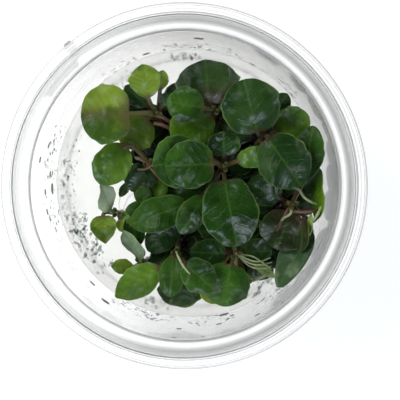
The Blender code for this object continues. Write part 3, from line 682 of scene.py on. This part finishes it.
def leaf_mesh(name, leaf, shoot, sheet, skins):
    """Bends a flat sheet, of blade rows, columns and stalk rows, into a leaf and gives it thickness."""
    rows, columns, stalk_rows = sheet
    bpy.ops.object.select_all(action="DESELECT")
    total = stalk_rows + rows
    bpy.ops.mesh.primitive_grid_add(x_subdivisions=total, y_subdivisions=columns, size=2.0)
    made = bpy.context.object
    made.name = made.data.name = name
    mesh = made.data
    wave = random.Random(name).uniform(0.0, math.tau)
    places, veins, flesh = [], [], []
    for vertex in mesh.vertices:
        row = round((vertex.co.x + 1) / 2 * total)
        side = vertex.co.y
        if row < stalk_rows:
            share = row / stalk_rows
            vertex.co = stalk_point(leaf, shoot, share, side) * MM
            places.append((share - 1.0, side, side * STALK_WIDTH / 2))
            veins.append(0.0)
            flesh.append(0.85)
        else:
            share = 0.5 - 0.5 * math.cos(math.pi * (row - stalk_rows) / rows)
            vertex.co = keep_in_cup(blade_point(leaf, share, side, wave)[0]) * MM
            off = side * half_width(leaf, share)
            places.append((share, side, off))
            veins.append(vein_place(leaf, share, side))
            keel = math.exp(-((off / 0.8) ** 2)) * max(0.0, 1 - share)
            flesh.append(0.30 + 0.5 * keel - 0.12 * abs(side) ** 3)
    place = mesh.attributes.new("place", "FLOAT_VECTOR", "POINT")
    place.data.foreach_set("vector", [value for triple in places for value in triple])
    vein = mesh.attributes.new("vein", "FLOAT", "POINT")
    vein.data.foreach_set("value", veins)
    group = made.vertex_groups.new(name="flesh")
    for index, weight in enumerate(flesh):
        group.add([index], weight, "REPLACE")
    body = made.modifiers.new("Thickness", "SOLIDIFY")
    body.thickness = LEAF_THICKNESS * MM
    body.offset = 0.0
    body.vertex_group = "flesh"
    body.material_offset = 1
    smooth = made.modifiers.new("Smooth", "SUBSURF")
    smooth.levels = smooth.render_levels = 1
    select_only(made)
    bpy.ops.object.modifier_apply(modifier="Thickness")
    bpy.ops.object.modifier_apply(modifier="Smooth")
    bpy.ops.object.shade_smooth()
    for skin in skins:
        made.data.materials.append(skin)
    return made


# Living leaf skin: satin to glossy, so the light lies on it in soft patches. Young leaves are
# yellow-green, older ones deep green, undersides a silvery grey-green; stalks are brown-red.
LEAF_VEIN = "#47682a"
UNDERSIDE_VEIN = "#9fb08e"
LEAF_RIM = "#6b8b42"
VEIN_SHOW = 0.14
VEIN_WANDER = 1.1
RIM_SHOW = 0.32
RIB_FLUSH_SHOW = 0.85


def leaf_material(
    name, deep, bright, flush, flush_reach, veins=LEAF_VEIN, roughness=0.31, rib_flush=0.0, painted_half_shade=0.10,
    blister_shade=0.30,
):
    """A living leaf: two greens in soft patches, paler veins and margin, flushed towards its stalk."""
    made, tree, shader = new_material(name, deep, roughness)
    place = add_node(tree, "Attribute", attribute_name="place").outputs["Vector"]
    share, side, off = add_node(tree, "SeparateXYZ", {0: place}).outputs
    spot = add_node(tree, "TexCoord").outputs["Object"]
    patches = add_node(tree, "TexNoise", {"Vector": spot, "Scale": 150.0, "Detail": 3.0, "Roughness": 0.5})
    # Painted shade: the blade's half on one side of the midrib is painted darker, as if it tilts away from
    # the light.
    half_shade_shift = add_node(tree, "Math", {0: side, 1: -painted_half_shade}, operation="MULTIPLY")
    patches_with_half_shade = add_node(tree, "Math", {0: patches, 1: half_shade_shift}, operation="ADD")
    broad = add_node(tree, "TexNoise", {"Vector": spot, "Scale": 45.0, "Detail": 1.0})
    broadly = add_node(tree, "Math", {0: broad, 1: -0.5}, operation="ADD")
    lit = add_node(tree, "Math", {0: patches_with_half_shade, 1: broadly}, operation="ADD")
    patch = add_node(tree, "MapRange", {"Value": lit, "From Min": 0.39, "From Max": 0.61})
    greens = {"Factor": patch, "A": rgba(deep), "B": rgba(bright)}
    green = add_node(tree, "Mix", greens, data_type="RGBA")
    # The side veins run where the vein count is whole, and wander a little.
    vein = add_node(tree, "Attribute", attribute_name="vein").outputs["Fac"]
    wander = add_node(tree, "Math", {0: patches, 1: VEIN_WANDER}, operation="MULTIPLY")
    bent = add_node(tree, "Math", {0: vein, 1: wander}, operation="ADD")
    beside = add_node(tree, "Math", {0: bent, 1: 0.5}, operation="PINGPONG")
    line = add_node(
        tree,
        "MapRange",
        {"Value": beside, "From Max": 0.10, "To Min": 1.0, "To Max": 0.0},
        interpolation_type="SMOOTHSTEP",
    )
    offness = add_node(tree, "Math", {0: off}, operation="ABSOLUTE")
    rib = add_node(
        tree,
        "MapRange",
        {"Value": offness, "From Min": 0.12, "From Max": 0.5, "To Min": 1.0, "To Max": 0.0},
        interpolation_type="SMOOTHSTEP",
    )
    edgeness = add_node(tree, "Math", {0: side}, operation="ABSOLUTE")
    edge_span = {"Value": edgeness, "From Min": 0.55, "From Max": 0.95}
    fade = add_node(tree, "MapRange", {**edge_span, "To Min": VEIN_SHOW, "To Max": 0.0})
    side_vein = add_node(tree, "Math", {0: line, 1: fade}, operation="MULTIPLY")
    rib_soft = add_node(tree, "Math", {0: rib, 1: 2 * VEIN_SHOW}, operation="MULTIPLY")
    vein_all = add_node(tree, "Math", {0: side_vein, 1: rib_soft}, operation="MAXIMUM")
    # Painted shade: the skin is painted darker beside its veins, where it sinks between two blisters.
    blister = add_node(
        tree,
        "MapRange",
        {"Value": beside, "From Min": 0.08, "From Max": 0.40, "To Min": blister_shade, "To Max": 0.0},
        interpolation_type="SMOOTHSTEP",
    )
    spread_span = {"Value": patches, "From Min": 0.35, "From Max": 0.6}
    blister_spread = add_node(tree, "MapRange", spread_span)
    painted_vein_shade = add_node(tree, "Math", {0: blister, 1: blister_spread}, operation="MULTIPLY")
    shaded = add_node(tree, "Mix", {"Factor": painted_vein_shade, "A": green, "B": rgba(deep)}, data_type="RGBA")
    veined = add_node(tree, "Mix", {"Factor": vein_all, "A": shaded, "B": rgba(veins)}, data_type="RGBA")
    # The flush comes from the stalk and, on some leaves, runs on beside the midrib.
    flushed_at = add_node(
        tree,
        "MapRange",
        {"Value": share, "From Max": flush_reach, "To Min": 1.0, "To Max": 0.0},
        interpolation_type="SMOOTHSTEP",
    )
    flushed = add_node(tree, "Mix", {"Factor": flushed_at, "A": veined, "B": rgba(flush)}, data_type="RGBA")
    if rib_flush:
        rib_span = {"Value": offness, "From Min": 0.3, "From Max": rib_flush}
        along_rib = add_node(
            tree,
            "MapRange",
            {**rib_span, "To Min": RIB_FLUSH_SHOW, "To Max": 0.0},
            interpolation_type="SMOOTHSTEP",
        )
        spread = add_node(tree, "MapRange", {"Value": patches, "From Min": 0.3, "From Max": 0.6})
        uneven = add_node(tree, "Math", {0: along_rib, 1: spread}, operation="MULTIPLY")
        flushed = add_node(
            tree, "Mix", {"Factor": uneven, "A": flushed, "B": rgba(flush)}, data_type="RGBA"
        )
    rim = add_node(
        tree,
        "MapRange",
        {"Value": edgeness, "From Min": 0.92, "From Max": 1.0, "To Max": RIM_SHOW},
        interpolation_type="SMOOTHSTEP",
    )
    on_blade = add_node(tree, "Math", {0: share, 1: 0.05}, operation="GREATER_THAN")
    rim_blade = add_node(tree, "Math", {0: rim, 1: on_blade}, operation="MULTIPLY")
    coloured = add_node(
        tree, "Mix", {"Factor": rim_blade, "A": flushed, "B": rgba(LEAF_RIM)}, data_type="RGBA"
    )
    cells = add_node(tree, "TexNoise", {"Vector": spot, "Scale": 1500.0, "Detail": 2.0})
    relief = add_node(tree, "Math", {0: cells, 1: line}, operation="SUBTRACT")
    skin = add_node(tree, "Bump", {"Strength": 0.30, "Distance": 0.14 * MM, "Height": relief})
    cell_span = {"Value": cells, "From Min": 0.3, "From Max": 0.7}
    sheen = add_node(
        tree, "MapRange", {**cell_span, "To Min": roughness - 0.06, "To Max": roughness + 0.10}
    )
    set_inputs(shader, {
        "Base Color": coloured, "Roughness": sheen, "Normal": skin, "Specular IOR Level": 0.40,
    })
    return made


FINISHES = {
    "young": leaf_material("Young leaf skin", "#546f1c", "#7c942a", "#4f4a26", 0.22),
    "first": leaf_material(
        "Young leaf skin with a brown midrib", "#33500f", "#7a922b", "#54502c", 0.25,
        rib_flush=3.6, painted_half_shade=0.32, blister_shade=0.10,
    ),
    "lime": leaf_material("Lime-green leaf skin", "#465f17", "#6c8524", "#4f4a26", 0.20),
    "spring": leaf_material("Half-grown leaf skin", "#34550c", "#52741c", "#4a4222", 0.16),
    "fresh": leaf_material("Fresh leaf skin", "#153403", "#2d510d", "#3a3617", 0.12),
    "mid": leaf_material("Leaf skin", "#163106", "#294a10", "#3a2f18", 0.10),
    "deep": leaf_material("Glossy leaf skin", "#0c2504", "#1b3a0c", "#2e2a12", 0.10, roughness=0.26),
    "dark": leaf_material("Old leaf skin", "#132d0b", "#243f16", "#2e2416", 0.10),
    # Painted shade: a darker copy of the leaf skin, for leaves low in the clump.
    "shade": leaf_material("Shaded leaf skin", "#0b1d05", "#162f0b", "#1f1810", 0.2),
    "bud": leaf_material("Bud leaf skin", "#223311", "#35471c", "#3a2a1a", 0.6),
    "leafy": leaf_material("Full-grown leaf skin", "#1b3f07", "#375e12", "#3a3617", 0.12),
    "bronze": leaf_material("Bronze-flushed leaf skin", "#142b0c", "#2b421a", "#3d3521", 0.5),
    "olive": leaf_material("Flushed leaf skin", "#192507", "#2c3b13", "#2f2516", 0.5),
    "under": leaf_material("Silvery leaf skin", "#98ae88", "#bccdab", "#6a7a4c", 0.3, roughness=0.42),
    "streaked": leaf_material("Streaked leaf skin", "#2c4727", "#75896a", "#4a4a33", 0.2, roughness=0.36),
    "grey": leaf_material("Grey-green leaf skin", "#3f5638", "#667c5c", "#55653c", 0.3, roughness=0.38),
    "pale": leaf_material("Pale young leaf skin", "#75904a", "#8da45d", "#8b9460", 0.3),
}
underside = leaf_material(
    "Leaf underside", "#4e6a3c", "#6b8456", "#5a4a33", 0.25, veins=UNDERSIDE_VEIN, roughness=0.45
)
SPECIAL = {
    "a1": "first", "a2": "lime", "a5": "lime", "b1": "spring", "b4": "spring", "c1": "bronze", "c2": "fresh",
    "c3": "spring", "d3": "mid", "d4": "spring", "e2": "deep", "e4": "spring", "e5": "deep", "f1": "mid",
    "f2": "spring", "f3": "olive", "f4": "streaked", "g4": "spring", "h2": "lime", "i1": "leafy",
    "k1": "grey",
}

for shoot in SHOOTS:
    for number, leaf in enumerate(shoot.leaves, 1):
        label = f"{shoot.letter}{number}"
        upper = FINISHES[SPECIAL.get(label, leaf.tone)]
        under = FINISHES["under"] if leaf.tone == "under" else underside
        piece = leaf_mesh(f"blade_{label}", leaf, shoot, LEAF_SHEET, (upper, under))
        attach(piece, "root")
        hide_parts(f"leaf_{label}")


# The leaves low in the clump: older and darker, in the shade of the rest, and two in three wear the
# shaded leaf skin, a darker copy that paints that shade on. They fill the clump between its shoots,
# each on a stalk from the nearest stem; the clump's outline is the one seen from above.
CLUMP_EDGE = [
    (-20.3, 21.5), (-11.4, 25.1), (-1.0, 28.0), (13.9, 28.6), (24.9, 22.1), (32.7, 14.7),
    (37.0, 5.7), (37.0, -4.7), (33.2, -16.6), (26.3, -23.9), (16.9, -28.4), (3.5, -29.0),
    (-6.9, -26.0), (-11.4, -19.6), (-12.9, -9.2), (-12.9, 1.3), (-14.4, 10.2), (-18.8, 16.1),
]
LOW_ROWS = range(-7, 8)
LOW_COLUMNS = range(-9, 10)
LOW_SPACING = 6.0
ROW_PITCH = 0.87
LOW_JITTER = 1.4
LOW_HEIGHTS = (2.5, 8.0)
LOW_LENGTHS = (8.0, 11.0)
LOW_SHEET = (14, 8, 4)
FOOT_LEAVES = 5


def inside_clump(x, y):
    crossings = 0
    for (ax, ay), (bx, by) in zip(CLUMP_EDGE, CLUMP_EDGE[1:] + CLUMP_EDGE[:1]):
        if (ay > y) != (by > y) and x < ax + (bx - ax) * (y - ay) / (by - ay):
            crossings += 1
    return crossings % 2 == 1


def joined(name, pieces):
    select_only(*pieces)
    if len(pieces) > 1:
        bpy.ops.object.join()
    made = bpy.context.object
    made.name = made.data.name = name
    return made


draw = random.Random(11)
low_leaves = {shoot.letter: [] for shoot in SHOOTS}
for row in LOW_ROWS:
    for column in LOW_COLUMNS:
        x = (column + 0.5 * (row % 2)) * LOW_SPACING + draw.uniform(-LOW_JITTER, LOW_JITTER)
        y = row * ROW_PITCH * LOW_SPACING + draw.uniform(-LOW_JITTER, LOW_JITTER)
        if not inside_clump(x, y):
            continue
        shoot = min(SHOOTS, key=lambda s: math.hypot(s.base[0] - x, s.base[1] - y))
        heading = math.atan2(y - shoot.base[1], x - shoot.base[0])
        length = draw.uniform(*LOW_LENGTHS)
        far = math.hypot(x - shoot.base[0], y - shoot.base[1])
        push = max(0.0, length / 2 + 1.8 - far)
        x, y = x + push * math.cos(heading), y + push * math.sin(heading)
        height = draw.uniform(*LOW_HEIGHTS)
        leaf = Leaf(
            x, y, height, math.degrees(heading) + draw.uniform(-20, 20), length,
            length * draw.uniform(0.8, 0.95), draw.uniform(-6, 10), draw.uniform(-10, 10),
            draw.uniform(-40, -20), draw.uniform(-0.1, 0.1), 1.0, 0.52,
            max(0.5, min(shoot.height - 1.0, height - 2.5)), "dark",
        )
        low_leaves[shoot.letter].append(leaf)

for shoot in SHOOTS:
    for number in range(FOOT_LEAVES):
        heading = draw.uniform(0, 20) + 360 / FOOT_LEAVES * number
        length = draw.uniform(7.5, 9.0)
        reach = length / 2 + 0.9
        x = shoot.base[0] + reach * math.cos(math.radians(heading))
        y = shoot.base[1] + reach * math.sin(math.radians(heading))
        if not inside_clump(x, y):
            continue
        height = draw.uniform(1.8, 3.6)
        leaf = Leaf(x, y, height, heading, length, 0.85 * length, 6, 0, -30, 0.0, 1.0, 0.52, 0.6, "dark")
        low_leaves[shoot.letter].append(leaf)

for shoot in SHOOTS:
    grown = []
    for number, leaf in enumerate(low_leaves[shoot.letter], 1):
        skins = (FINISHES["shade" if number % 3 else "dark"], underside)
        grown.append(leaf_mesh(f"low_leaf_{shoot.letter}{number}", leaf, shoot, LOW_SHEET, skins))
    low = joined(f"low_leaves_{shoot.letter}", grown)
    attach(low, "root")


# The side leaves: small young leaves that stand out from under the rest at the clump's edge. A row
# gives the shoot that the leaf grows from, its finish and the leaf.
SIDE_LEAVES = [
    ("k", "mid", Leaf(-16.2, -13.8, 8.6, 106, 9.6, 6.4, 4, 12, -25, 0.10, 1.00, 0.60, 5.0, "mid")),
    ("k", "spring", Leaf(-14.6, -20.2, 9.4, 112, 4.8, 3.6, 24, 20, -50, 0.25, 1.00, 0.60, 7.0, "mid")),
    ("j", "mid", Leaf(-14.6, -7.6, 12.0, 178, 7.4, 5.6, 6, -10, -30, 0.10, 1.00, 0.60, 8.0, "mid")),
    ("h", "spring", Leaf(-16.8, -9.6, 9.2, 356, 5.6, 4.6, 10, 0, -30, 0.15, 1.00, 0.60, 6.6, "mid")),
    ("b", "mid", Leaf(-13.0, -3.4, 12.4, 268, 6.4, 5.0, 0, 10, -30, 0.10, 1.00, 0.60, 9.8, "mid")),
    ("g", "young", Leaf(-1.2, -33.4, 9.4, 272, 6.8, 8.6, 0, 0, -25, 0.05, 1.00, 0.50, 6.0, "young")),
    ("i", "young", Leaf(7.6, -31.6, 12.0, 262, 7.4, 8.8, 0, 0, -25, 0.05, 1.00, 0.50, 9.0, "young")),
    ("i", "young", Leaf(17.2, -27.6, 13.2, 322, 4.0, 3.2, 16, 0, -20, 0.15, 1.00, 0.60, 9.6, "young")),
    ("f", "olive", Leaf(33.4, -14.6, 17.6, 262, 9.4, 5.6, 6, 34, -30, 0.20, 1.00, 0.60, 13.6, "mid")),
    ("f", "pale", Leaf(35.6, -11.4, 17.0, 84, 6.6, 2.6, 18, -50, -30, 0.30, 1.00, 0.75, 12.0, "pale")),
]
SIDE_SHEET = (20, 12, 5)
shoot_of = {shoot.letter: shoot for shoot in SHOOTS}
for number, (letter, finish, leaf) in enumerate(SIDE_LEAVES, 1):
    skins = (FINISHES[finish], underside)
    piece = leaf_mesh(f"side_leaf_{number:02d}", leaf, shoot_of[letter], SIDE_SHEET, skins)
    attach(piece, "root")


# The buds: three small leaves stand at each stem's tip, still folded up. They are grown like the other
# leaves, each smaller than the one before, and joined to one piece.
BUD_LEAVES = 3
BUD_LENGTH = 2.4
BUD_STEP = 0.3
BUD_TILT = 62
BUD_SHEET = (8, 4, 2)
for shoot in SHOOTS:
    grown = []
    tip = stem_point(shoot, shoot.height) / MM
    for number in range(BUD_LEAVES):
        heading = 40 + 120 * number + 37 * shoot.height
        size = BUD_LENGTH - BUD_STEP * number
        leaf = Leaf(
            tip.x + 0.5 * size * math.cos(math.radians(heading)),
            tip.y + 0.5 * size * math.sin(math.radians(heading)),
            shoot.height + 0.8, heading, size, 0.6 * size, BUD_TILT, 0, -20, 0.3, 1.0, 0.75,
            shoot.height - 0.6, "young",
        )
        skins = (FINISHES["bud"], underside)
        grown.append(leaf_mesh(f"bud_{shoot.letter}{number}", leaf, shoot, BUD_SHEET, skins))
    bud = joined(f"bud_{shoot.letter}", grown)
    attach(bud, "root")


# The bare stalks: pale and brown leaf stalks that cross the gaps in the clump, their blades lost or
# hidden. Each is a round tube along a curve through points that are in mm, with heights over the gel.
STALK_ROUTES = [
    ("pale", 0.38, [
        (29.2, -0.4, 16.0), (32.2, -1.2, 18.6), (33.8, -3.4, 19.6), (36.3, -5.0, 18.4), (38.4, -5.4, 15.5),
    ]),
    ("brown", 0.42, [(29.6, -7.0, 18.0), (32.0, -7.6, 19.2), (35.0, -7.6, 18.8), (38.0, -7.0, 16.6)]),
    ("brown", 0.34, [(29.4, -6.6, 18.2), (27.9, -9.2, 18.6), (26.6, -12.0, 17.4), (25.8, -14.6, 15.0)]),
    ("pale", 0.36, [(30.4, -6.4, 18.8), (29.8, -8.2, 19.6), (28.0, -9.4, 19.0), (26.6, -11.6, 17.0)]),
    ("pale", 0.42, [
        (35.2, -12.0, 14.0), (36.6, -10.0, 17.6), (38.2, -7.4, 18.6), (39.2, -4.6, 17.4), (38.6, -2.4, 15.6),
    ]),
    ("pale", 0.24, [(14.4, -19.8, 13.2), (17.4, -21.6, 14.4), (20.6, -22.4, 14.2), (24.4, -21.4, 12.6)]),
    ("pale", 0.28, [(14.5, -20.2, 12.6), (18.0, -22.8, 13.8), (21.2, -23.4, 13.8), (24.8, -22.8, 12.0)]),
    ("pale", 0.24, [(15.0, -21.0, 12.0), (18.2, -23.8, 13.0), (21.4, -24.6, 13.2), (24.6, -24.0, 11.6)]),
    ("pale", 0.22, [(16.0, -20.4, 13.6), (19.4, -21.0, 14.6), (22.2, -22.8, 14.2), (24.6, -24.8, 12.0)]),
    ("pale", 0.50, [(16.6, -29.2, 6.5), (19.2, -28.6, 8.8), (21.6, -27.6, 9.6), (25.0, -26.2, 9.0)]),
    ("brown", 0.55, [(-9.6, 18.0, 14.5), (-6.2, 17.0, 16.0), (-3.4, 15.0, 14.5), (-2.4, 12.0, 10.0)]),
    ("brown", 0.50, [(-12.6, 20.6, 15.0), (-9.0, 20.2, 17.0), (-5.4, 18.6, 16.0), (-3.6, 15.2, 11.0)]),
    ("brown", 0.50, [(-15.4, 8.0, 10.0), (-12.6, 6.8, 13.6), (-9.6, 3.6, 13.6), (-7.4, 0.4, 9.0)]),
    ("brown", 0.38, [(-14.6, 4.4, 12.0), (-12.0, 4.6, 14.2), (-9.4, 6.4, 14.4), (-6.6, 9.0, 12.0)]),
    ("pale", 0.34, [(-3.0, -19.4, 17.2), (-2.2, -20.6, 20.6), (-0.8, -23.0, 21.8), (1.2, -25.4, 21.6)]),
]
TIP_SHARE = 0.7


def stalk_skin(name, colour, scale, dark, light):
    """A stalk's skin, streaked with two colours."""
    made, tree, shader = new_material(name, colour[0], colour[1])
    spot = add_node(tree, "TexCoord").outputs["Object"]
    streaks = add_node(tree, "TexNoise", {"Vector": spot, "Scale": scale, "Detail": 2.0})
    tints = {"Factor": streaks, "A": rgba(dark), "B": rgba(light)}
    set_inputs(shader, {"Base Color": add_node(tree, "Mix", tints, data_type="RGBA")})
    return made


def new_tube(radius, roundness):
    """An empty curve that draws a round tube along each of its splines."""
    curve = bpy.data.curves.new("tube", "CURVE")
    curve.dimensions = "3D"
    curve.bevel_depth = radius * MM
    curve.bevel_resolution = roundness
    curve.use_fill_caps = True
    return curve


def tube_mesh(name, curve, skin):
    bpy.context.scene.collection.objects.link(bpy.data.objects.new(name, curve))
    select_only(bpy.data.objects[name])
    bpy.ops.object.convert(target="MESH")
    made = bpy.context.object
    made.data.name = name
    made.data.materials.clear()
    made.data.materials.append(skin)
    bpy.ops.object.shade_smooth()
    return made


# Living stalks, satin and finely streaked: older ones brown, young or shaded ones pale green.
STALK_SKINS = {
    "brown": stalk_skin("Brown leaf stalk", ("#5b3b2c", 0.38), 500.0, "#3a241b", "#7b5a43"),
    "pale": stalk_skin("Pale leaf stalk", ("#8c9a68", 0.36), 700.0, "#56683a", "#a9b48a"),
}
for number, (kind, radius, route) in enumerate(STALK_ROUTES, 1):
    path = new_tube(radius, 3)
    path.resolution_u = 10
    spline = path.splines.new("BEZIER")
    spline.bezier_points.add(len(route) - 1)
    for control, (x, y, height) in zip(spline.bezier_points, route):
        control.co = Vector((x, y, GEL_TOP + height)) * MM
        control.handle_left_type = control.handle_right_type = "AUTO"
    spline.bezier_points[-1].radius = TIP_SHARE
    stalk = tube_mesh(f"bare_stalk_{number:02d}", path, STALK_SKINS[kind])
    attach(stalk, "root")


# The roots: fine pale threads that spread down through the gel from each stem's foot. Each thread
# wanders as it goes down, stops short of the wall and the floor, and tapers to its end.
ROOTS_EACH = 5
ROOT_RADIUS = 0.09
ROOT_STEPS = 7
ROOT_STRIDE = 1.1
ROOT_TIP_SHARE = 0.35
root_skin, *_ = new_material("Young root", "#efeee2", 0.5)
for shoot in SHOOTS:
    draw = random.Random(ord(shoot.letter))
    threads = new_tube(ROOT_RADIUS, 2)
    for number in range(ROOTS_EACH):
        heading = math.tau * number / ROOTS_EACH + draw.uniform(-0.4, 0.4)
        point = Vector((shoot.base[0], shoot.base[1], GEL_TOP - ROOTED_DEPTH + 0.6))
        spline = threads.splines.new("NURBS")
        spline.order_u = 4
        spline.use_endpoint_u = True
        points = [point]
        for _ in range(ROOT_STEPS):
            heading += draw.uniform(-0.5, 0.5)
            sink = draw.uniform(0.9, 1.7)
            point = point + Vector((ROOT_STRIDE * math.cos(heading), ROOT_STRIDE * math.sin(heading), -sink))
            if math.hypot(point.x, point.y) > wall_radius(point.z) - 2 or point.z < 2.2:
                break
            points.append(point)
        spline.points.add(len(points) - 1)
        for control, place in zip(spline.points, points):
            control.co = (*(place * MM), 1.0)
            control.radius = 1.0
        spline.points[-1].radius = ROOT_TIP_SHARE
    roots = tube_mesh(f"roots_{shoot.letter}", threads, root_skin)
    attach(roots, "root")


# The drops: water that has condensed on the inside of the wall and along the gel's edge. The large
# ones are set where they are seen, each by its azimuth, height and size. The fine ones lie scattered
# in patches: two azimuths, two heights or radii, and how many there are.
LARGE_DROPS = [
    (170, 41.7, 0.8), (176, 27.7, 0.9), (-178, 25.0, 1.4), (-177, 33.5, 0.8), (-169, 34.0, 0.8),
    (-166, 32.6, 0.7), (164, 35.3, 0.8), (162, 30.8, 0.6), (-134, 27.4, 0.9), (-125, 34.3, 1.2),
    (108, 23.9, 1.0), (85, 39.1, 1.2), (-75, 22.5, 1.3), (-77, 34.0, 0.8), (-93, 36.3, 0.7),
    (-94, 47.5, 0.5), (-83, 46.5, 0.5), (-61, 41.0, 0.7), (62, 20.5, 0.8), (-25, 37.6, 0.7),
]
WALL_PATCHES = [
    (155, 178, 20, 36, 60), (-178, -160, 20, 36, 44), (-124, -95, 20, 31, 90), (-90, -70, 20, 32, 46),
    (84, 101, 20, 31, 50), (66, 83, 20, 31, 34), (38, 58, 19.5, 34, 60), (-62, -44, 20, 36, 50),
    (112, 130, 19.5, 28, 26),
]
GEL_PATCHES = [
    (155, 185, 35.0, 39.6, 70), (-175, -155, 35.0, 39.6, 50), (-165, -134, 33.0, 39.6, 170),
    (-124, -95, 36.5, 39.6, 50), (117, 130, 35.5, 39.4, 30), (84, 101, 37.8, 39.8, 26),
    (-42, -24, 34.5, 39.6, 40), (-62, -44, 36.0, 39.6, 40),
]
FINE_DROPS = (0.16, 0.52)
DROP_FLATNESS = 0.26
water, *_ = new_material("Condensed water", "#cfd4d2", 0.05, 0.96, 1.33)

bpy.ops.object.select_all(action="DESELECT")
bpy.ops.mesh.primitive_ico_sphere_add(subdivisions=2, radius=1.0)
round_drop = bpy.context.object


def add_drop(place, inward, size, stretch):
    """A bead of water on a face: place in mm, inward the way it stands out from the face."""
    bead = bpy.data.objects.new("drop", round_drop.data.copy())
    bpy.context.scene.collection.objects.link(bead)
    sideways = UP.cross(inward) if abs(inward.z) < 0.9 else Vector((1.0, 0.0, 0.0)).cross(inward)
    sideways.normalize()
    sides = (sideways * size * stretch, inward.cross(sideways) * size, inward * size * DROP_FLATNESS)
    turned = (Matrix(sides).transposed() * MM).to_4x4()
    bead.data.transform(Matrix.Translation(place * MM) @ turned)
    return bead


def fine_size():
    """Most of the fine drops are near the smaller size."""
    return FINE_DROPS[0] + (FINE_DROPS[1] - FINE_DROPS[0]) * draw.random() ** 2


draw = random.Random(5)
beads = []
lean = Vector((math.cos(WALL_TAPER), math.sin(WALL_TAPER)))
wall_drops = [(azimuth, height, size, 1.25) for azimuth, height, size in LARGE_DROPS]
for start, end, low, high, count in WALL_PATCHES:
    for _ in range(count):
        size = fine_size()
        wall_drops.append((draw.uniform(start, end), draw.uniform(low, high), size, 1.1))
for azimuth, height, size, stretch in wall_drops:
    angle = math.radians(azimuth)
    outward = Vector((math.cos(angle), math.sin(angle), 0.0))
    place = outward * (wall_radius(height) - 0.1 * size) + UP * height
    beads.append(add_drop(place, -outward * lean.x + UP * lean.y, size, stretch))
flat_edge = wall_radius(GEL_TOP) - MENISCUS_WIDTH
for start, end, low, high, count in GEL_PATCHES:
    for _ in range(count):
        size = fine_size()
        angle = math.radians(draw.uniform(start, end))
        reach = draw.uniform(low, high)
        climb = MENISCUS * max(0.0, (reach - flat_edge) / MENISCUS_WIDTH) ** 2
        place = Vector((reach * math.cos(angle), reach * math.sin(angle), GEL_TOP + climb + 0.05 * size))
        beads.append(add_drop(place, UP, size, draw.uniform(1.0, 1.4)))
bpy.data.objects.remove(round_drop, do_unlink=True)
drops = joined("water_drops", beads)
drops.data.materials.clear()
drops.data.materials.append(water)
bpy.ops.object.shade_smooth()
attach(drops, "root")


# The floor: plain white card under the cup, not a part of the object. It reads white where it is seen
# or mirrored, and takes the cup's soft shadow.
FLOOR_GLOW = 0.72
bpy.ops.object.select_all(action="DESELECT")
bpy.ops.mesh.primitive_plane_add(size=3.0, location=(0.0, 0.0, -0.2 * MM))
ground = bpy.context.object
ground.name = "white_card"
bpy.ops.object.transform_apply(location=True, rotation=True, scale=True)
card, tree, shader = new_material("White card", "#a9abab", 0.9)
rays = add_node(tree, "LightPath").outputs
straight = {0: rays["Is Camera Ray"], 1: rays["Is Glossy Ray"]}
seen = add_node(tree, "Math", straight, operation="ADD")
through = {0: seen, 1: rays["Is Transmission Ray"]}
seen_through = add_node(tree, "Math", through, operation="ADD")
glow = add_node(tree, "Math", {0: seen_through, 1: FLOOR_GLOW}, operation="MULTIPLY")
set_inputs(shader, {"Emission Color": rgba("#ffffff"), "Emission Strength": glow})
ground.data.materials.append(card)
ground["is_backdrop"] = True


# The light: a pale room with a large soft lamp at the upper left, a small bright one near it that
# glints on the wet leaves, cool window light from below the picture and a soft fill from the right.
ROOM_STRENGTH = 0.5
LAMPS_AIM = Vector((0.0, 0.0, 0.03))


def soft_lamp(name, place, size, watts, colour, mirrored=True):
    lamp = bpy.data.lights.new(name, "AREA")
    lamp.shape = "DISK"
    lamp.size = size
    lamp.energy = watts
    lamp.color = linear(colour)
    made = bpy.data.objects.new(name, lamp)
    made.location = place
    made.rotation_euler = (LAMPS_AIM - Vector(place)).to_track_quat("-Z", "Y").to_euler()
    made.visible_glossy = mirrored
    bpy.context.scene.collection.objects.link(made)


soft_lamp("Key", (-0.62, 0.30, 0.66), 0.80, 8.5, "#fffdf8", mirrored=False)
soft_lamp("Glint", (-0.40, 0.35, 0.80), 0.16, 0.9, "#f6f9ff")
soft_lamp("Window", (0.06, -0.52, 0.80), 0.42, 3.6, "#e2eeff")
soft_lamp("Fill", (0.70, 0.35, 0.75), 0.80, 2.5, "#ffffff", mirrored=False)
world = bpy.data.worlds.new("Room")
bpy.context.scene.world = world
world.use_nodes = True
tree = world.node_tree
direction = add_node(tree, "TexCoord").outputs["Generated"]
rise = add_node(tree, "SeparateXYZ", {0: direction}).outputs[2]
sky = add_node(
    tree,
    "ValToRGB",
    {0: rise},
    stops=[(0.0, "#f4f6f6"), (0.40, "#eef1f1"), (0.62, "#6a6e6f"), (1.0, "#303233")],
)
rays = add_node(tree, "LightPath").outputs
direct = {0: rays["Is Camera Ray"], 1: rays["Is Transmission Ray"]}
seen = add_node(tree, "Math", direct, operation="MAXIMUM")
shown = add_node(tree, "Mix", {"Factor": seen, "A": sky, "B": rgba("#ffffff")}, data_type="RGBA")
strength = add_node(tree, "MapRange", {"Value": seen, "To Min": ROOM_STRENGTH, "To Max": 1.0})
set_inputs(tree.nodes["Background"], {"Color": shown, "Strength": strength})
bpy.context.scene.view_settings.view_transform = "Standard"

size = {"cad": [list(corner) for corner in cad_box], "visual": [list(corner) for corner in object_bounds()]}
